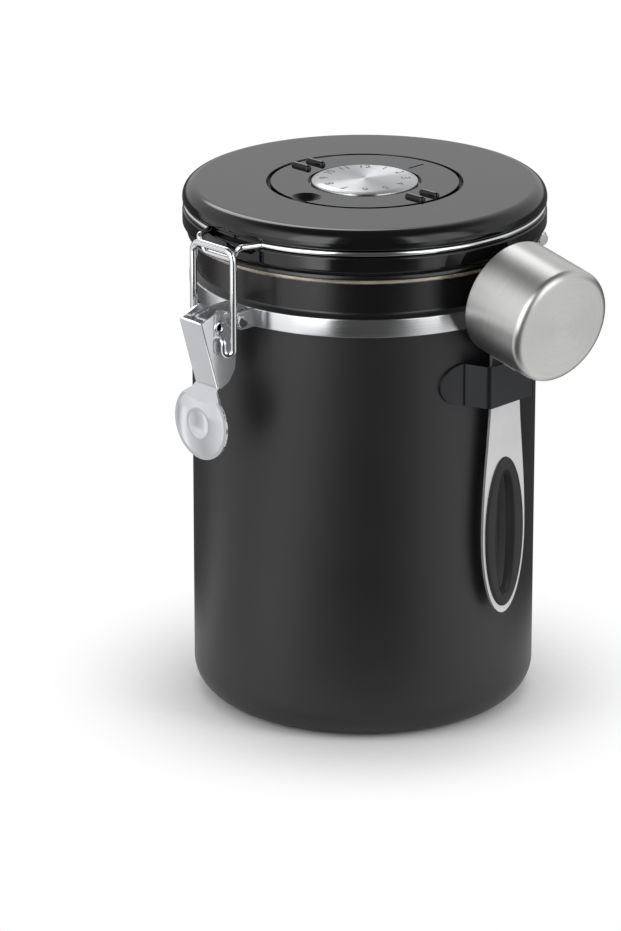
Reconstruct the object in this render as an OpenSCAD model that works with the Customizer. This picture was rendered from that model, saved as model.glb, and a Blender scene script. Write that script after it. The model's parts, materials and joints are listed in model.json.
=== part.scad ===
// Coffee canister with a one-way valve, a date ring, a wire latch and a hanging scoop.
// Millimetres, +Z up. The origin is the middle of the base, on the canister's axis.
// The latch faces -Y, the lid's hinge is at +Y.

/* [Canister] */
// Outer radius of the straight wall
body_r = 59; // [50:0.5:75]
// Thickness of the sheet wall
wall = 0.8; // [0.6:0.1:1.5]
// Height of the rim's top above the table
rim_z = 167.4; // [120:0.1:220]
// How far the neck above the band stands inside the wall
neck_in = 2; // [1:0.1:4]
// Height of the neck, from the shoulder's top to the rim's top
neck_h = 14.4; // [13:0.1:30]
// Height of the shoulder that joins wall and neck
shoulder_h = 2.7; // [1.5:0.1:8]
// Radius of the round corner at the base
base_round = 11; // [5:0.5:16]
// Radius of the rolled bead at the rim
bead_r = 2; // [1.5:0.1:2.5]
// Distance of the bead's middle from the neck's outer face
bead_out = 1.4; // [0.8:0.1:1.6]
// Width of the flat ring that the canister stands on
foot_w = 5; // [3:0.5:10]
// Height of the raised middle of the base
foot_h = 1.6; // [0.8:0.1:3]

/* [Neck band] */
// Height of the band
band_h = 6.3; // [4:0.1:10]
// Thickness of the band and its lug
band_t = 0.8; // [0.5:0.1:1.2]
// Distance from the band's top up to the shoulder's top
band_drop = 1.7; // [1:0.1:6]
// How far the lug stands off the band's outer face
lug_out = 7.6; // [6:0.1:8]
// Distance of the lug's inner face from the latch's middle plane
lug_x = 7.4; // [7:0.1:9]

/* [Lid] */
// How far the lid's edge stands out over the neck
lid_over = 5; // [4.8:0.1:8]
// Height of the lid's top above the rim's top
lid_h = 14.6; // [14:0.1:22]
// Radius of the lid's rounded top edge
lid_round = 4.8; // [2:0.1:5]
// Radius of the lid's lower edge over the groove
lid_under_round = 1.2; // [0.4:0.1:1.5]
// Distance from the lid's top to the middle of the wire groove
groove_down = 7.6; // [7:0.1:9]
// Gap between the rim's top and the lid's underside
lid_gap = 0.3; // [0.2:0.05:0.6]
// Thickness of the lid's top wall
lid_top_t = 2.6; // [1.5:0.1:3]
// Width of the lid's inner lip inside the gasket
lid_lip = 1.7; // [1:0.1:3]
// Width of the gasket
gasket_w = 3.4; // [2.5:0.1:4]
// Height of the gasket
gasket_h = 2.08; // [1.5:0.02:3]
// Free play of the closed gasket over the rim
gasket_gap = 0.02; // [0.01:0.01:0.1]
// Thickness of the liner plate
liner_t = 2; // [1:0.1:3]
// Clearance between the liner's edge and the lid's lip
liner_gap = 0.05; // [0.02:0.01:0.2]
// Clearance between the liner's plug and the neck's bore
plug_clear = 2.6; // [2.4:0.1:5]
// How far the plug reaches below the rim's top
plug_down = 2.5; // [1:0.1:3]

/* [Date ring] */
// Radius of the recess in the lid's top
recess_r = 33.4; // [28:0.1:38]
// Depth of the recess
recess_down = 3.4; // [2.6:0.1:5]
// Gap between the ring and the recess
ring_gap = 1.4; // [0.3:0.1:2]
// Radius of the dial plate
dial_r = 18.2; // [14:0.1:22]
// Gap between the dial plate and the ring
dial_gap = 1.1; // [0.3:0.1:2]
// Radius of the dial plate's flat middle
dial_flat_r = 16; // [12:0.1:18]
// Height of the dial's flat middle over the lid's top
dial_up = 1; // [0.2:0.1:2]
// Thickness of the dial plate's edge
dial_edge_t = 0.8; // [0.4:0.1:1.6]
// Height of the dial's bevel
dial_bevel_h = 1.2; // [0.4:0.1:2]
// Running clearance of the ring on the hub
hub_clear = 0.1; // [0.05:0.05:0.3]
// Overlap of the dial plate over the ring's inner lip
dial_lap = 1.3; // [0.8:0.1:2]
// Length of a grip rib
rib_l = 8.6; // [6:0.1:10]
// Width of a grip rib
rib_w = 2.4; // [1.6:0.1:3.2]
// Height of a grip rib
rib_h = 1.4; // [1:0.1:2.4]
// Distance of the ribs' middle from the axis
rib_at = 27; // [25:0.1:28]
// Half the distance between the two ribs of a pair
rib_half = 3.45; // [2.5:0.05:5]
// Width of the thumb notch at the ring's face
notch_w = 10.2; // [6:0.1:12]
// Distance of the thumb notch's middle from the axis
notch_at = 27.9; // [26:0.1:30]
// Depth of the thumb notch
notch_deep = 2.6; // [1:0.1:2.8]
// Width of the pointer line
pointer_w = 0.7; // [0.4:0.1:1.2]
// Length of the pointer line
pointer_l = 7.4; // [4:0.1:9]
// Distance of the pointer line's inner end from the axis
pointer_at = 21.5; // [20.5:0.1:22.5]
// Depth of the pointer line
pointer_deep = 0.5; // [0.2:0.1:1]
// Direction of the dial's six, turned from the latch
dial_turn = 46.5; // [0:0.5:359]

/* [Valve] */
// Radius of the valve seat
seat_r = 13; // [10:0.5:16]
// Thickness of the valve seat's flange
seat_t = 1.2; // [0.8:0.1:2]
// Radius of the valve flap
flap_r = 8.4; // [6:0.1:10]
// Thickness of the valve flap
flap_t = 0.8; // [0.5:0.1:1.5]
// Radius of the vent holes
vent_r = 1.5; // [0.8:0.1:2]
// Distance of the vent holes from the axis
vent_at = 5; // [4:0.1:6]
// Radius of the flap's stem
stem_r = 1.3; // [0.8:0.1:2]

/* [Bail ring] */
// Radius of the bail ring's wire
bail_wire_r = 1; // [0.7:0.05:1.2]
// Play between the groove's floor and the wire
groove_play = 0.1; // [0.05:0.05:0.4]
// Half angle of the gap where the wire leaves the groove at the latch
nose_deg = 12; // [10:0.5:16]
// Half angle of the gap where the wire leaves the groove at the hinge
rear_deg = 13.2; // [12:0.1:18]
// Half width of the nose's cross bar, middle to middle of its bends
nose_x = 6.6; // [5:0.1:7]
// How far the nose's cross bar hangs below the groove
nose_drop = 4.8; // [3:0.1:5]
// Gap between the nose and the link
nose_clear = 0.35; // [0.3:0.05:1]
// Length of the straight where the wire leaves the groove
leave_l = 3.2; // [2.5:0.1:5]
// Width of the slope down to the nose's cross bar
nose_slope = 3.4; // [3:0.1:6]
// Bend radius of the wire at the groove
leave_bend = 1.6; // [1.2:0.05:2]
// Bend radius at the ends of the nose's cross bar
nose_bend = 1.8; // [1.2:0.05:2]
// Bend radius where an arm turns down to the hinge
arm_bend = 3.2; // [2:0.1:5]
// How far an arm runs back before it turns down
arm_run = 8.6; // [6:0.1:12]

/* [Latch] */
// Least distance from the wall to the line that latch, hinge and scoop are set out from
stand_off = 3; // [2:0.1:6]
// Distance of the lever's pivot outside that line
pivot_out = 10.4; // [9:0.1:14]
// Distance of the lever's pivot below the band's top
pivot_down = 4.4; // [3:0.1:6]
// Outer radius of the hollow pivot rivet
rivet_r = 1.6; // [1.2:0.1:1.8]
// Radius of the rivet's hole
rivet_bore_r = 0.95; // [0.5:0.05:1]
// Radius of the rivet's rolled heads
rivet_head_r = 2.2; // [2:0.1:2.5]
// Thickness of the rivet's rolled heads
rivet_head_t = 0.5; // [0.3:0.05:0.55]
// Running clearance of the pins, on the radius
pin_clear = 0.05; // [0.02:0.01:0.1]
// Outer width of the lever's channel
lever_w = 11.2; // [10.6:0.1:12]
// Sheet thickness of the lever
lever_t = 0.8; // [0.6:0.1:1]
// Distance from the pivot to the channel web's outer face
web_out = 6.9; // [6.4:0.1:7.4]
// Lean of the channel's web from upright
web_lean = 16.6; // [12:0.1:20]
// Length of the web below the pivot's level
web_down = 20.2; // [16:0.1:24]
// Length of the web above the pivot's level
web_up = 3; // [1:0.1:3.5]
// Radius of the flanges' round back corner
flange_r = 5.9; // [5:0.1:6]
// Radius of the thumb spoon
spoon_r = 12.7; // [10:0.1:14]
// Distance of the thumb spoon outward of the web's lower end
spoon_out = 2.8; // [1.5:0.1:4]
// Width of the flat rim of the thumb spoon
spoon_rim = 1.2; // [0.8:0.1:2]
// Height of the thumb spoon's dome
dome_h = 1.5; // [0.8:0.1:2.2]
// Radius of the dish in the dome's middle
dish_r = 5.2; // [3:0.1:7]
// Depth of the dish in the dome's middle
dish_deep = 0.7; // [0.3:0.1:1]
// Radius of the hollow corners between spoon and web
spoon_fillet = 2; // [1:0.1:3]
// Radius of the link's wire
link_wire_r = 1.1; // [0.8:0.05:1.2]
// Half the distance between the link's legs
link_x = 9.75; // [9.6:0.05:11]
// Distance of the link's legs inward of the lever's pivot
link_in = 2.6; // [1.5:0.1:2.7]
// Height of the link's cross bar below the wire groove
link_down = 1.2; // [0.5:0.1:2]
// Radius of the link's upper corners
link_round = 3.4; // [2.5:0.1:4]
// Bend radius where a link end turns into the lever's hole
link_end_bend = 1.2; // [1.15:0.05:1.5]
// Distance of the link's pivot below the lever's pivot
link_pivot_down = 4.3; // [4.2:0.1:5]
// Distance of the link's pivot inward of the lever's pivot
link_pivot_in = 0.2; // [0:0.05:0.5]
// Depth of the hairpin below the link's pivot
hairpin_down = 3.2; // [2.5:0.1:5]
// Gap between the lever's flange and the hairpin
hairpin_gap = 0.6; // [0.55:0.05:1]
// Sheet thickness of the latch bracket
bracket_t = 1.2; // [0.8:0.1:1.5]
// Gap between bracket and lever on each side
bracket_gap = 0.3; // [0.2:0.05:0.5]
// Radius of the bracket's ears round the pivot
ear_r = 2.7; // [2.4:0.1:3]
// Radius of the clamp bolt
bolt_r = 1.2; // [1:0.05:1.25]
// Radius of the clamp bolt's head
bolt_head_r = 2.1; // [1.8:0.1:2.3]
// Thickness of the clamp bolt's head
bolt_head_t = 1.2; // [0.8:0.1:1.6]
// Distance of the clamp bolt outward of the band's face
bolt_out = 5.2; // [4.6:0.1:5.3]

/* [Hinge] */
// Distance of the hinge pin outside the set-out line
hinge_out = 9; // [7:0.1:13]
// Distance of the hinge pin below the band's top
hinge_down = 1.3; // [0:0.1:3]
// Radius of the hinge pin
hinge_pin_r = 1.2; // [1:0.05:1.5]
// Half width of the hinge bracket
hinge_half_w = 10.7; // [8:0.1:11.5]
// Sheet thickness of the hinge bracket
hinge_t = 1.2; // [0.8:0.1:2]
// Outer radius of the wire eyes on the pin
eye_r = 2.9; // [2.5:0.1:3.2]
// Length of a wire eye along the pin
eye_l = 3; // [2:0.1:4]
// Gap between bracket and wire eye
eye_gap = 2; // [0.3:0.1:3]

/* [Scoop clip] */
// Direction of the clip, turned from the latch
clip_turn = 93; // [85:0.5:100]
// Height of the clip's top above the table
clip_z = 133.1; // [100:0.1:150]
// Height of the clip's strap
clip_h = 14.6; // [8:0.1:18]
// Sheet thickness of the clip
clip_t = 1; // [0.6:0.1:1.5]
// Play between the handle and the clip, on each side and in front
clip_play = 0.5; // [0.35:0.05:1.5]
// Length of a clip tab round the wall
tab_l = 8; // [6:0.5:14]
// Bend radius of the clip's sheet, in the middle of the sheet
clip_bend = 1.6; // [1:0.1:2.5]
// How much wider the clip is at the wall than at its bridge, on each side
clip_splay = 2.6; // [1.5:0.1:5]

/* [Scoop] */
// Outer radius of the cup
cup_r = 20; // [16:0.1:24]
// Depth of the cup
cup_l = 26.5; // [20:0.5:40]
// Sheet thickness of the cup
cup_t = 0.8; // [0.6:0.1:1.2]
// Radius of the cup's bottom corner
cup_round = 2.8; // [2:0.1:6]
// Sheet thickness of the handle
handle_t = 1.2; // [1:0.1:1.8]
// Width of the handle at its top
handle_top_w = 12.6; // [10:0.1:16]
// Width of the handle at the grip
handle_w = 18.6; // [16:0.1:21]
// Length of the handle below the clip's top
handle_l = 91; // [70:1:100]
// Length of the oval grip
grip_l = 53.6; // [40:0.1:56]
// Width of the metal rim beside the grip
grip_rim = 0.9; // [0.8:0.1:3]
// Width of the metal rim below the grip
grip_foot = 2.4; // [1:0.1:4]
// How far the grip stands out of the handle's front
grip_out = 1; // [0.4:0.1:1.6]
// Width of the ledge on which the grip lies round its window
grip_seat = 1.2; // [0.8:0.1:2]
// Width of the rubber round the grip's slot
grip_band = 5.9; // [4:0.1:6.2]
// Least gap between the scoop and the set-out line
scoop_gap = 0.65; // [0.5:0.05:2]
// Length of the handle's tab under the cup
under_tab_l = 13; // [8:0.5:20]
// Angle by which the handle rises from the cup's mouth
cup_tilt = 10; // [0:0.5:15]
// Angle by which the scoop hangs turned in its clip
scoop_twist = 7; // [0:0.5:8]
// How far the scoop hangs beside the clip's middle
scoop_side = 0.6; // [0:0.1:1.5]

/* [Hidden] */
$fn = 96;
e = 0.01;
// straights of a bent wire: run into each bend by this, and are this much thinner
wire_lap = 0.2;
wire_step = 0.02;
// radii
neck_r = body_r - neck_in;
lid_r = neck_r + lid_over;
foot_r = body_r - base_round - foot_w;
// line that latch, hinge and scoop are set out from, clear of wall and lid
line_r = max(body_r + stand_off, lid_r);
// heights
lid_z = rim_z + lid_h;
shoulder_z = rim_z - neck_h;
wall_z = shoulder_z - shoulder_h;
band_top = shoulder_z - band_drop;
band_bottom = band_top - band_h;
bead_z = rim_z - bead_r;
bead_c = neck_r + bead_out;
groove_z = lid_z - groove_down;
lid_bottom = rim_z + lid_gap;
// wire groove
groove_floor = lid_r - 0.2 - 2 * bail_wire_r - groove_play;
groove_half = bail_wire_r + groove_play;
wire_c = groove_floor + groove_play + bail_wire_r;
// lid inside
gasket_in = bead_c - gasket_w / 2;
ring_in = gasket_in - lid_lip;
gasket_out = bead_c + gasket_w / 2;
gasket_bottom = rim_z + gasket_gap;
gasket_top = gasket_bottom + gasket_h;
liner_bottom = lid_bottom + 0.3;
plug_r = neck_r - wall - plug_clear;
recess_z = lid_z - recess_down;
floor_z = recess_z - lid_top_t;
top_in = lid_z - lid_top_t;
// date ring
ring_out_r = recess_r - ring_gap;
ring_in_r = dial_r + dial_gap;
hub_r = dial_r - dial_lap;
lip_r = hub_r + hub_clear;
dial_low = lid_z + dial_up - dial_bevel_h - dial_edge_t;
lip_top = dial_low - hub_clear;
// radius of the ball that cuts a notch of that width and depth
notch_ball = (pow(notch_w / 2, 2) + pow(notch_deep, 2)) / (2 * notch_deep);
rib_root = rib_w / 2 + 0.1;
// valve
seat_hole_r = seat_r - 2.5;
// latch
pivot_y = line_r + pivot_out;
pivot_z = band_top - pivot_down;
link_y = pivot_y - link_in;
link_pz = pivot_z - link_pivot_down;
link_py = pivot_y - link_pivot_in;
link_z = groove_z - link_down;
flange_x = lever_w / 2;
hairpin_x = flange_x + hairpin_gap + link_wire_r;
ear_x = flange_x - lever_t - bracket_gap;
band_out_r = body_r + band_t;
bolt_y = band_out_r + bolt_out;
bolt_z = band_top - band_h / 2;
nose_y = link_y - link_wire_r - nose_clear - bail_wire_r;
// hinge
hinge_y = line_r + hinge_out;
hinge_z = band_top - hinge_down;
eye_x = hinge_half_w + eye_gap;
pin_half = eye_x + eye_l + 0.2;
// scoop
// how far an edge of the turned handle swings in, less the round wall's fall there
swing = handle_w / 2 * sin(scoop_twist);
fall = line_r - sqrt(pow(line_r, 2) - pow(handle_w / 2, 2));
handle_mid = line_r + scoop_gap + handle_t / 2 + max(0, swing - fall);
handle_in = handle_mid - handle_t / 2;
handle_out = handle_mid + handle_t / 2;
bridge_in = handle_out + grip_out + swing + clip_play;
bridge_out = bridge_in + clip_t;
clip_half_w = handle_w / 2 + scoop_side + clip_play + clip_t;
tab_r = cup_r + 0.03 + handle_t;
mouth_r = line_r + scoop_gap + cup_r * sin(cup_tilt);
// along the cup: where the tab's lower side meets the strip, and where it crosses the bridge's outer face
tab_at = (handle_in - mouth_r + tab_r * sin(cup_tilt)) / cos(cup_tilt);
rest_l = (bridge_out - mouth_r) / cos(cup_tilt) + tab_r * tan(cup_tilt);
cup_z = clip_z + 0.05 + rest_l * sin(cup_tilt) + tab_r * cos(cup_tilt);
handle_low = clip_z - handle_l;
grip_low = handle_low + grip_foot;
grip_mid = grip_low + grip_l / 2;
grip_w = handle_w - 2 * grip_rim;

// a straight round rod between two points
module rod(a, b, r) {
    d = b - a;
    l = norm(d);
    translate(a)
        rotate([0, acos(d[2] / l), atan2(d[1], d[0])])
            cylinder(r = r, h = l, $fn = 48);
}

// a round bend at b between the straights from a and to c
module bend(a, b, c, br, w) {
    u = (b - a) / norm(b - a);
    v = (c - b) / norm(c - b);
    deg = acos(u * v);
    n = (v - (u * v) * u) / norm(v - (u * v) * u);
    m = b - u * br * tan(deg / 2) + n * br;
    k = cross(-n, u);
    multmatrix([[-n[0], u[0], k[0], m[0]],
                [-n[1], u[1], k[1], m[1]],
                [-n[2], u[2], k[2], m[2]],
                [0, 0, 0, 1]])
        rotate_extrude(angle = deg, $fn = 72)
            translate([br, 0])
                circle(r = w, $fn = 40);
}

// length that a bend takes from each straight next to it
function bend_cut(p, radii, i) =
    (i <= 0 || i >= len(p) - 1) ? 0 :
    let (u = (p[i] - p[i - 1]) / norm(p[i] - p[i - 1]), v = (p[i + 1] - p[i]) / norm(p[i + 1] - p[i]))
    radii[i - 1] * tan(acos(u * v) / 2);

// a round wire through a list of points, with a bend radius at each inner one;
// the straights are a hair thinner and run a little way into the bends
module wire(p, radii, w) {
    for (i = [0 : len(p) - 2]) {
        u = (p[i + 1] - p[i]) / norm(p[i + 1] - p[i]);
        a = p[i] + u * bend_cut(p, radii, i);
        b = p[i + 1] - u * bend_cut(p, radii, i + 1);
        rod(a - wire_lap * u, b + wire_lap * u, w - wire_step);
    }
    for (i = [1 : len(p) - 2])
        bend(p[i - 1], p[i], p[i + 1], radii[i - 1], w);
}

// points of an arc in a profile, from angle f to angle t
function arc(cx, cy, r, f, t, n = 8) =
    [for (i = [0 : n])
        let (q = f + (t - f) * i / n)
        [cx + r * cos(q), cy + r * sin(q)]];

function unit(v) = v / norm(v);
function left_of(v) = [-v[1], v[0]];

// a flat path moved sideways by d, with sharp corners
function moved(p, d) =
    [for (i = [0 : len(p) - 1])
        let (k = len(p) - 1, f = max(i, 1), g = min(i, k - 1),
            u = unit(p[f] - p[f - 1]), v = unit(p[g + 1] - p[g]))
        p[i] + (left_of(u) + left_of(v)) * d / (1 + u * v)];

// side to which a path turns at its point i, 1 is left
function side_at(p, i) = sign(cross(p[i] - p[i - 1], p[i + 1] - p[i]));

// points that round the corner b between a and c
function corner(a, b, c, r, n = 6) =
    let (u = unit(b - a), v = unit(c - b), deg = acos(u * v), side = sign(cross(u, v)),
        s = b - u * r * tan(deg / 2), m = s + left_of(u) * r * side, f = atan2(s[1] - m[1], s[0] - m[0]))
    [for (k = [0 : n]) let (q = f + side * deg * k / n) m + r * [cos(q), sin(q)]];

// one face of a bent sheet whose middle follows the path p, at the distance d from it;
// radii has a middle bend radius for each inner point, 0 leaves it sharp
function sheet_face(p, radii, d) =
    let (q = moved(p, d), k = len(p) - 1)
    concat([q[0]],
        [for (i = [1 : k - 1]) each (radii[i - 1] == 0 ? [q[i]]
            : corner(q[i - 1], q[i], q[i + 1], radii[i - 1] - side_at(p, i) * d))],
        [q[k]]);

// outline of a bent sheet of thickness t
function sheet(p, radii, t) =
    let (back = sheet_face(p, radii, -t / 2))
    concat(sheet_face(p, radii, t / 2), [for (i = [len(back) - 1 : -1 : 0]) back[i]]);

// turn to a direction round the canister, 0 is the latch's side
module turned(deg) {
    rotate([0, 0, deg]) children();
}

// a plate in the y-z plane: outline given as distance from the axis and height
module side_plate(x0, x1, outline) {
    translate([x0, 0, 0])
        rotate([90, 0, 90])
            linear_extrude(height = x1 - x0)
                polygon([for (p = outline) [-p[0], p[1]]]);
}

module cross_hole(y, z, r, x0, x1) {
    translate([x0, -y, z])
        rotate([0, 90, 0])
            cylinder(r = r, h = x1 - x0, $fn = 48);
}

module canister_body() {
    rb = base_round;
    ri = base_round - wall;
    foot_in = foot_r - 2;
    color("#2b2c2e")
        difference() {
            union() {
                rotate_extrude($fn = 160)
                    polygon(concat(
                        [[0, foot_h], [foot_in, foot_h], [foot_r, 0]],
                        arc(body_r - rb, rb, rb, -90, 0, 10),
                        [[body_r, wall_z]],
                        [[body_r - 0.3, wall_z + shoulder_h * 0.3]],
                        [[neck_r + 0.3, wall_z + shoulder_h * 0.7]],
                        [[neck_r, shoulder_z], [neck_r, bead_z]],
                        [[neck_r - wall, bead_z], [neck_r - wall, shoulder_z + wall / 3]],
                        [[neck_r - wall + 0.3, wall_z + shoulder_h * 0.7]],
                        [[body_r - wall - 0.3, wall_z + shoulder_h * 0.3]],
                        [[body_r - wall, wall_z - wall / 3]],
                        arc(body_r - rb, rb, ri, 0, -90, 10),
                        [[foot_r, wall], [foot_in, foot_h + wall], [0, foot_h + wall]]));
                translate([0, 0, bead_z])
                    rotate_extrude($fn = 160)
                        translate([bead_c, 0])
                            circle(r = bead_r, $fn = 40);
            }
        }
}

module neck_band() {
    color("#d8dade") {
        difference() {
            union() {
                translate([0, 0, band_bottom])
                    cylinder(r = band_out_r, h = band_h, $fn = 160);
                side_plate(lug_x, lug_x + band_t, concat(
                    [[body_r - band_t, band_bottom]],
                    arc(band_out_r + lug_out - band_h / 2, band_bottom + band_h / 2, band_h / 2, -90, 90, 12),
                    [[body_r - band_t, band_top]]));
            }
            translate([0, 0, band_bottom - 1])
                cylinder(r = body_r, h = band_h + 2, $fn = 160);
            cross_hole(bolt_y, bolt_z, bolt_r, lug_x - 1, lug_x + band_t + 1);
        }
    }
}

module latch_bracket() {
    side = concat(
        [[body_r, band_bottom]],
        arc(pivot_y, pivot_z, ear_r, -80, 90, 10),
        [[bolt_y, band_top], [body_r, band_top]]);
    color("#c9ccd1")
        difference() {
            union() {
                for (s = [0, 1])
                    mirror([s, 0, 0])
                        side_plate(ear_x - bracket_t, ear_x, side);
                intersection() {
                    translate([0, 0, band_bottom])
                        difference() {
                            cylinder(r = band_out_r + bracket_t, h = band_h, $fn = 160);
                            translate([0, 0, -1])
                                cylinder(r = band_out_r, h = band_h + 2, $fn = 160);
                        }
                    translate([-ear_x, -body_r - 10, band_bottom])
                        cube([2 * ear_x, 20, band_h]);
                }
            }
            translate([0, 0, band_bottom - 1])
                cylinder(r = band_out_r, h = band_h + 4, $fn = 160);
            cross_hole(pivot_y, pivot_z, rivet_r + pin_clear, -ear_x - 1, ear_x + 1);
            cross_hole(bolt_y, bolt_z, bolt_r, -ear_x - 1, ear_x + 1);
        }
}

module clamp_bolt() {
    color("#b9bcc2") {
        cross_hole(bolt_y, bolt_z, bolt_r, 0.6, lug_x + band_t + e);
        cross_hole(bolt_y, bolt_z, bolt_head_r, lug_x + band_t, lug_x + band_t + bolt_head_t);
    }
}

module clamp_nut() {
    inner = ear_x - bracket_t;
    color("#b9bcc2")
        difference() {
            translate([inner - 1.6, -bolt_y, bolt_z])
                rotate([0, 90, 0])
                    cylinder(r = bolt_r + 1.1, h = 1.6, $fn = 6);
            cross_hole(bolt_y, bolt_z, bolt_r, inner - 3, inner + 1);
        }
}

module hinge_bracket() {
    color("#c9ccd1")
        difference() {
            union() {
                for (s = [0, 1])
                    mirror([s, 0, 0])
                        translate([hinge_half_w - hinge_t, 0, 0])
                            rotate([90, 0, 90])
                                linear_extrude(height = hinge_t)
                                    polygon(concat(
                                        [[body_r - 3, band_bottom]],
                                        arc(hinge_y, hinge_z, eye_r - 0.4, -70, 90, 10),
                                        [[body_r - 3, band_top]]));
                intersection() {
                    translate([0, 0, band_bottom])
                        cylinder(r = band_out_r + hinge_t, h = band_h, $fn = 160);
                    translate([-hinge_half_w, body_r - 10, band_bottom])
                        cube([2 * hinge_half_w, 30, band_h]);
                }
            }
            translate([0, 0, band_bottom - 1])
                cylinder(r = band_out_r, h = band_h + 4, $fn = 160);
            cross_hole(-hinge_y, hinge_z, hinge_pin_r, -hinge_half_w - 1, hinge_half_w + 1);
        }
}

module hinge_pin() {
    color("#c9ccd1") {
        cross_hole(-hinge_y, hinge_z, hinge_pin_r, -pin_half - 0.5, pin_half + 0.5);
        for (s = [0, 1])
            mirror([s, 0, 0])
                cross_hole(-hinge_y, hinge_z, hinge_pin_r + 0.8, pin_half, pin_half + 0.8);
    }
}

module scoop_clip() {
    rm = body_r + clip_t / 2;
    bx = clip_half_w - clip_t / 2;
    by = bridge_out - clip_t / 2;
    fx = bx + clip_splay;
    // flats of a tab on the wall, each one touching the wall in its middle
    flats = 5;
    a_in = asin((fx + clip_bend) / rm);
    step = tab_l / body_r * 180 / PI / flats;
    a_end = a_in + flats * step;
    rv = rm / cos(step / 2);
    foot = rm * [sin(a_in), -cos(a_in)] - clip_bend / cos(a_in) * [cos(a_in), sin(a_in)];
    half = concat([rm * [sin(a_end), -cos(a_end)]],
        [for (i = [flats - 1 : -1 : 0]) let (q = a_in + (i + 0.5) * step) rv * [sin(q), -cos(q)]],
        [foot, [bx, -by]]);
    n = len(half);
    path = concat(half, [for (i = [n - 1 : -1 : 0]) [-half[i][0], half[i][1]]]);
    radii = [for (i = [1 : 2 * n - 2]) (i > flats && i < 2 * n - 1 - flats) ? clip_bend : 0];
    end_w = body_r * sin(a_end) - foot[0];
    mid = clip_z - clip_h / 2;
    ends = [for (p = arc(0, 0, 1, -90, 90, 20)) [foot[0] + end_w * p[0], clip_h / 2 * p[1]]];
    color("#26282c")
        turned(clip_turn)
            intersection() {
                translate([0, 0, clip_z - clip_h - 1])
                    linear_extrude(height = clip_h + 2)
                        polygon(sheet(path, radii, clip_t));
                // round ends of the tabs
                translate([0, 0, mid])
                    rotate([90, 0, 0])
                        linear_extrude(height = bridge_out + 1)
                            polygon(concat(ends, [for (p = ends) -p]));
            }
}

module lid_cover() {
    gt = groove_z + groove_half;
    gb = groove_z - groove_half;
    ur = lid_under_round;
    color("#1c1c1d")
        difference() {
            rotate_extrude($fn = 160)
                polygon(concat(
                    [[0, floor_z], [recess_r + lid_top_t, floor_z]],
                    [[recess_r + lid_top_t + 3, top_in], [ring_in - 1.5, top_in], [ring_in, top_in - 1.5]],
                    [[ring_in, lid_bottom], [gasket_in, lid_bottom], [gasket_in, gasket_top]],
                    [[gasket_out, gasket_top], [gasket_out, lid_bottom]],
                    arc(lid_r - 1.1, lid_bottom + 1.1, 1.1, -90, 0, 4),
                    arc(lid_r - 0.8, gb - 0.8, 0.8, 0, 90, 4),
                    [[groove_floor, gb], [groove_floor, gt]],
                    arc(lid_r - ur, gt + ur, ur, -90, 0, 4),
                    arc(lid_r - lid_round, lid_z - lid_round, lid_round, 0, 90, 8),
                    [[recess_r, lid_z], [recess_r, recess_z], [hub_r, recess_z]],
                    [[hub_r, dial_low], [0, dial_low]]));
            for (i = [0 : 3])
                rotate([0, 0, 45 + 90 * i])
                    translate([recess_r - 7, 0, floor_z - 1])
                        cylinder(r = vent_r, h = lid_top_t + 2, $fn = 48);
        }
}

module lid_gasket() {
    color("#d9d9d4")
        translate([0, 0, gasket_bottom])
            difference() {
                cylinder(r = gasket_out, h = gasket_h, $fn = 160);
                translate([0, 0, -1])
                    cylinder(r = gasket_in, h = gasket_h + 2, $fn = 160);
            }
}

module lid_liner() {
    top = liner_bottom + liner_t;
    liner_out = ring_in - liner_gap;
    color("#222223")
        difference() {
            rotate_extrude($fn = 160)
                polygon([[seat_hole_r, liner_bottom], [plug_r - 2, liner_bottom],
                    [plug_r - 2, rim_z - plug_down], [plug_r - 0.6, rim_z - plug_down],
                    [plug_r, rim_z - plug_down + 0.8], [plug_r, liner_bottom],
                    [liner_out, liner_bottom], [liner_out, top], [seat_hole_r, top]]);
        }
}

module valve_seat() {
    top = liner_bottom + liner_t;
    color("#cfcfca")
        difference() {
            union() {
                translate([0, 0, liner_bottom - seat_t])
                    cylinder(r = seat_r, h = seat_t);
                translate([0, 0, liner_bottom - e])
                    cylinder(r = seat_hole_r, h = liner_t + e);
            }
            for (i = [0 : 5])
                rotate([0, 0, 60 * i])
                    translate([vent_at, 0, liner_bottom - seat_t - 1])
                        cylinder(r = vent_r, h = liner_t + seat_t + 2, $fn = 48);
            translate([0, 0, liner_bottom - seat_t - 1])
                cylinder(r = stem_r, h = top - liner_bottom + seat_t + 2, $fn = 48);
        }
}

module valve_flap() {
    top = liner_bottom + liner_t;
    color("#e4e2dc") {
        translate([0, 0, top])
            cylinder(r = flap_r, h = flap_t);
        translate([0, 0, liner_bottom - seat_t])
            cylinder(r = stem_r, h = top - liner_bottom + seat_t + e, $fn = 48);
        translate([0, 0, liner_bottom - seat_t - 1])
            cylinder(r1 = stem_r + 0.3, r2 = stem_r + 0.9, h = 1, $fn = 48);
    }
}

module dial_plate() {
    bevel_z = dial_low + dial_edge_t;
    color("#bfc1c4")
        rotate_extrude($fn = 128)
            polygon([[0, dial_low], [dial_r, dial_low], [dial_r, bevel_z],
                [dial_flat_r, bevel_z + dial_bevel_h], [0, bevel_z + dial_bevel_h]]);
}

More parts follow.
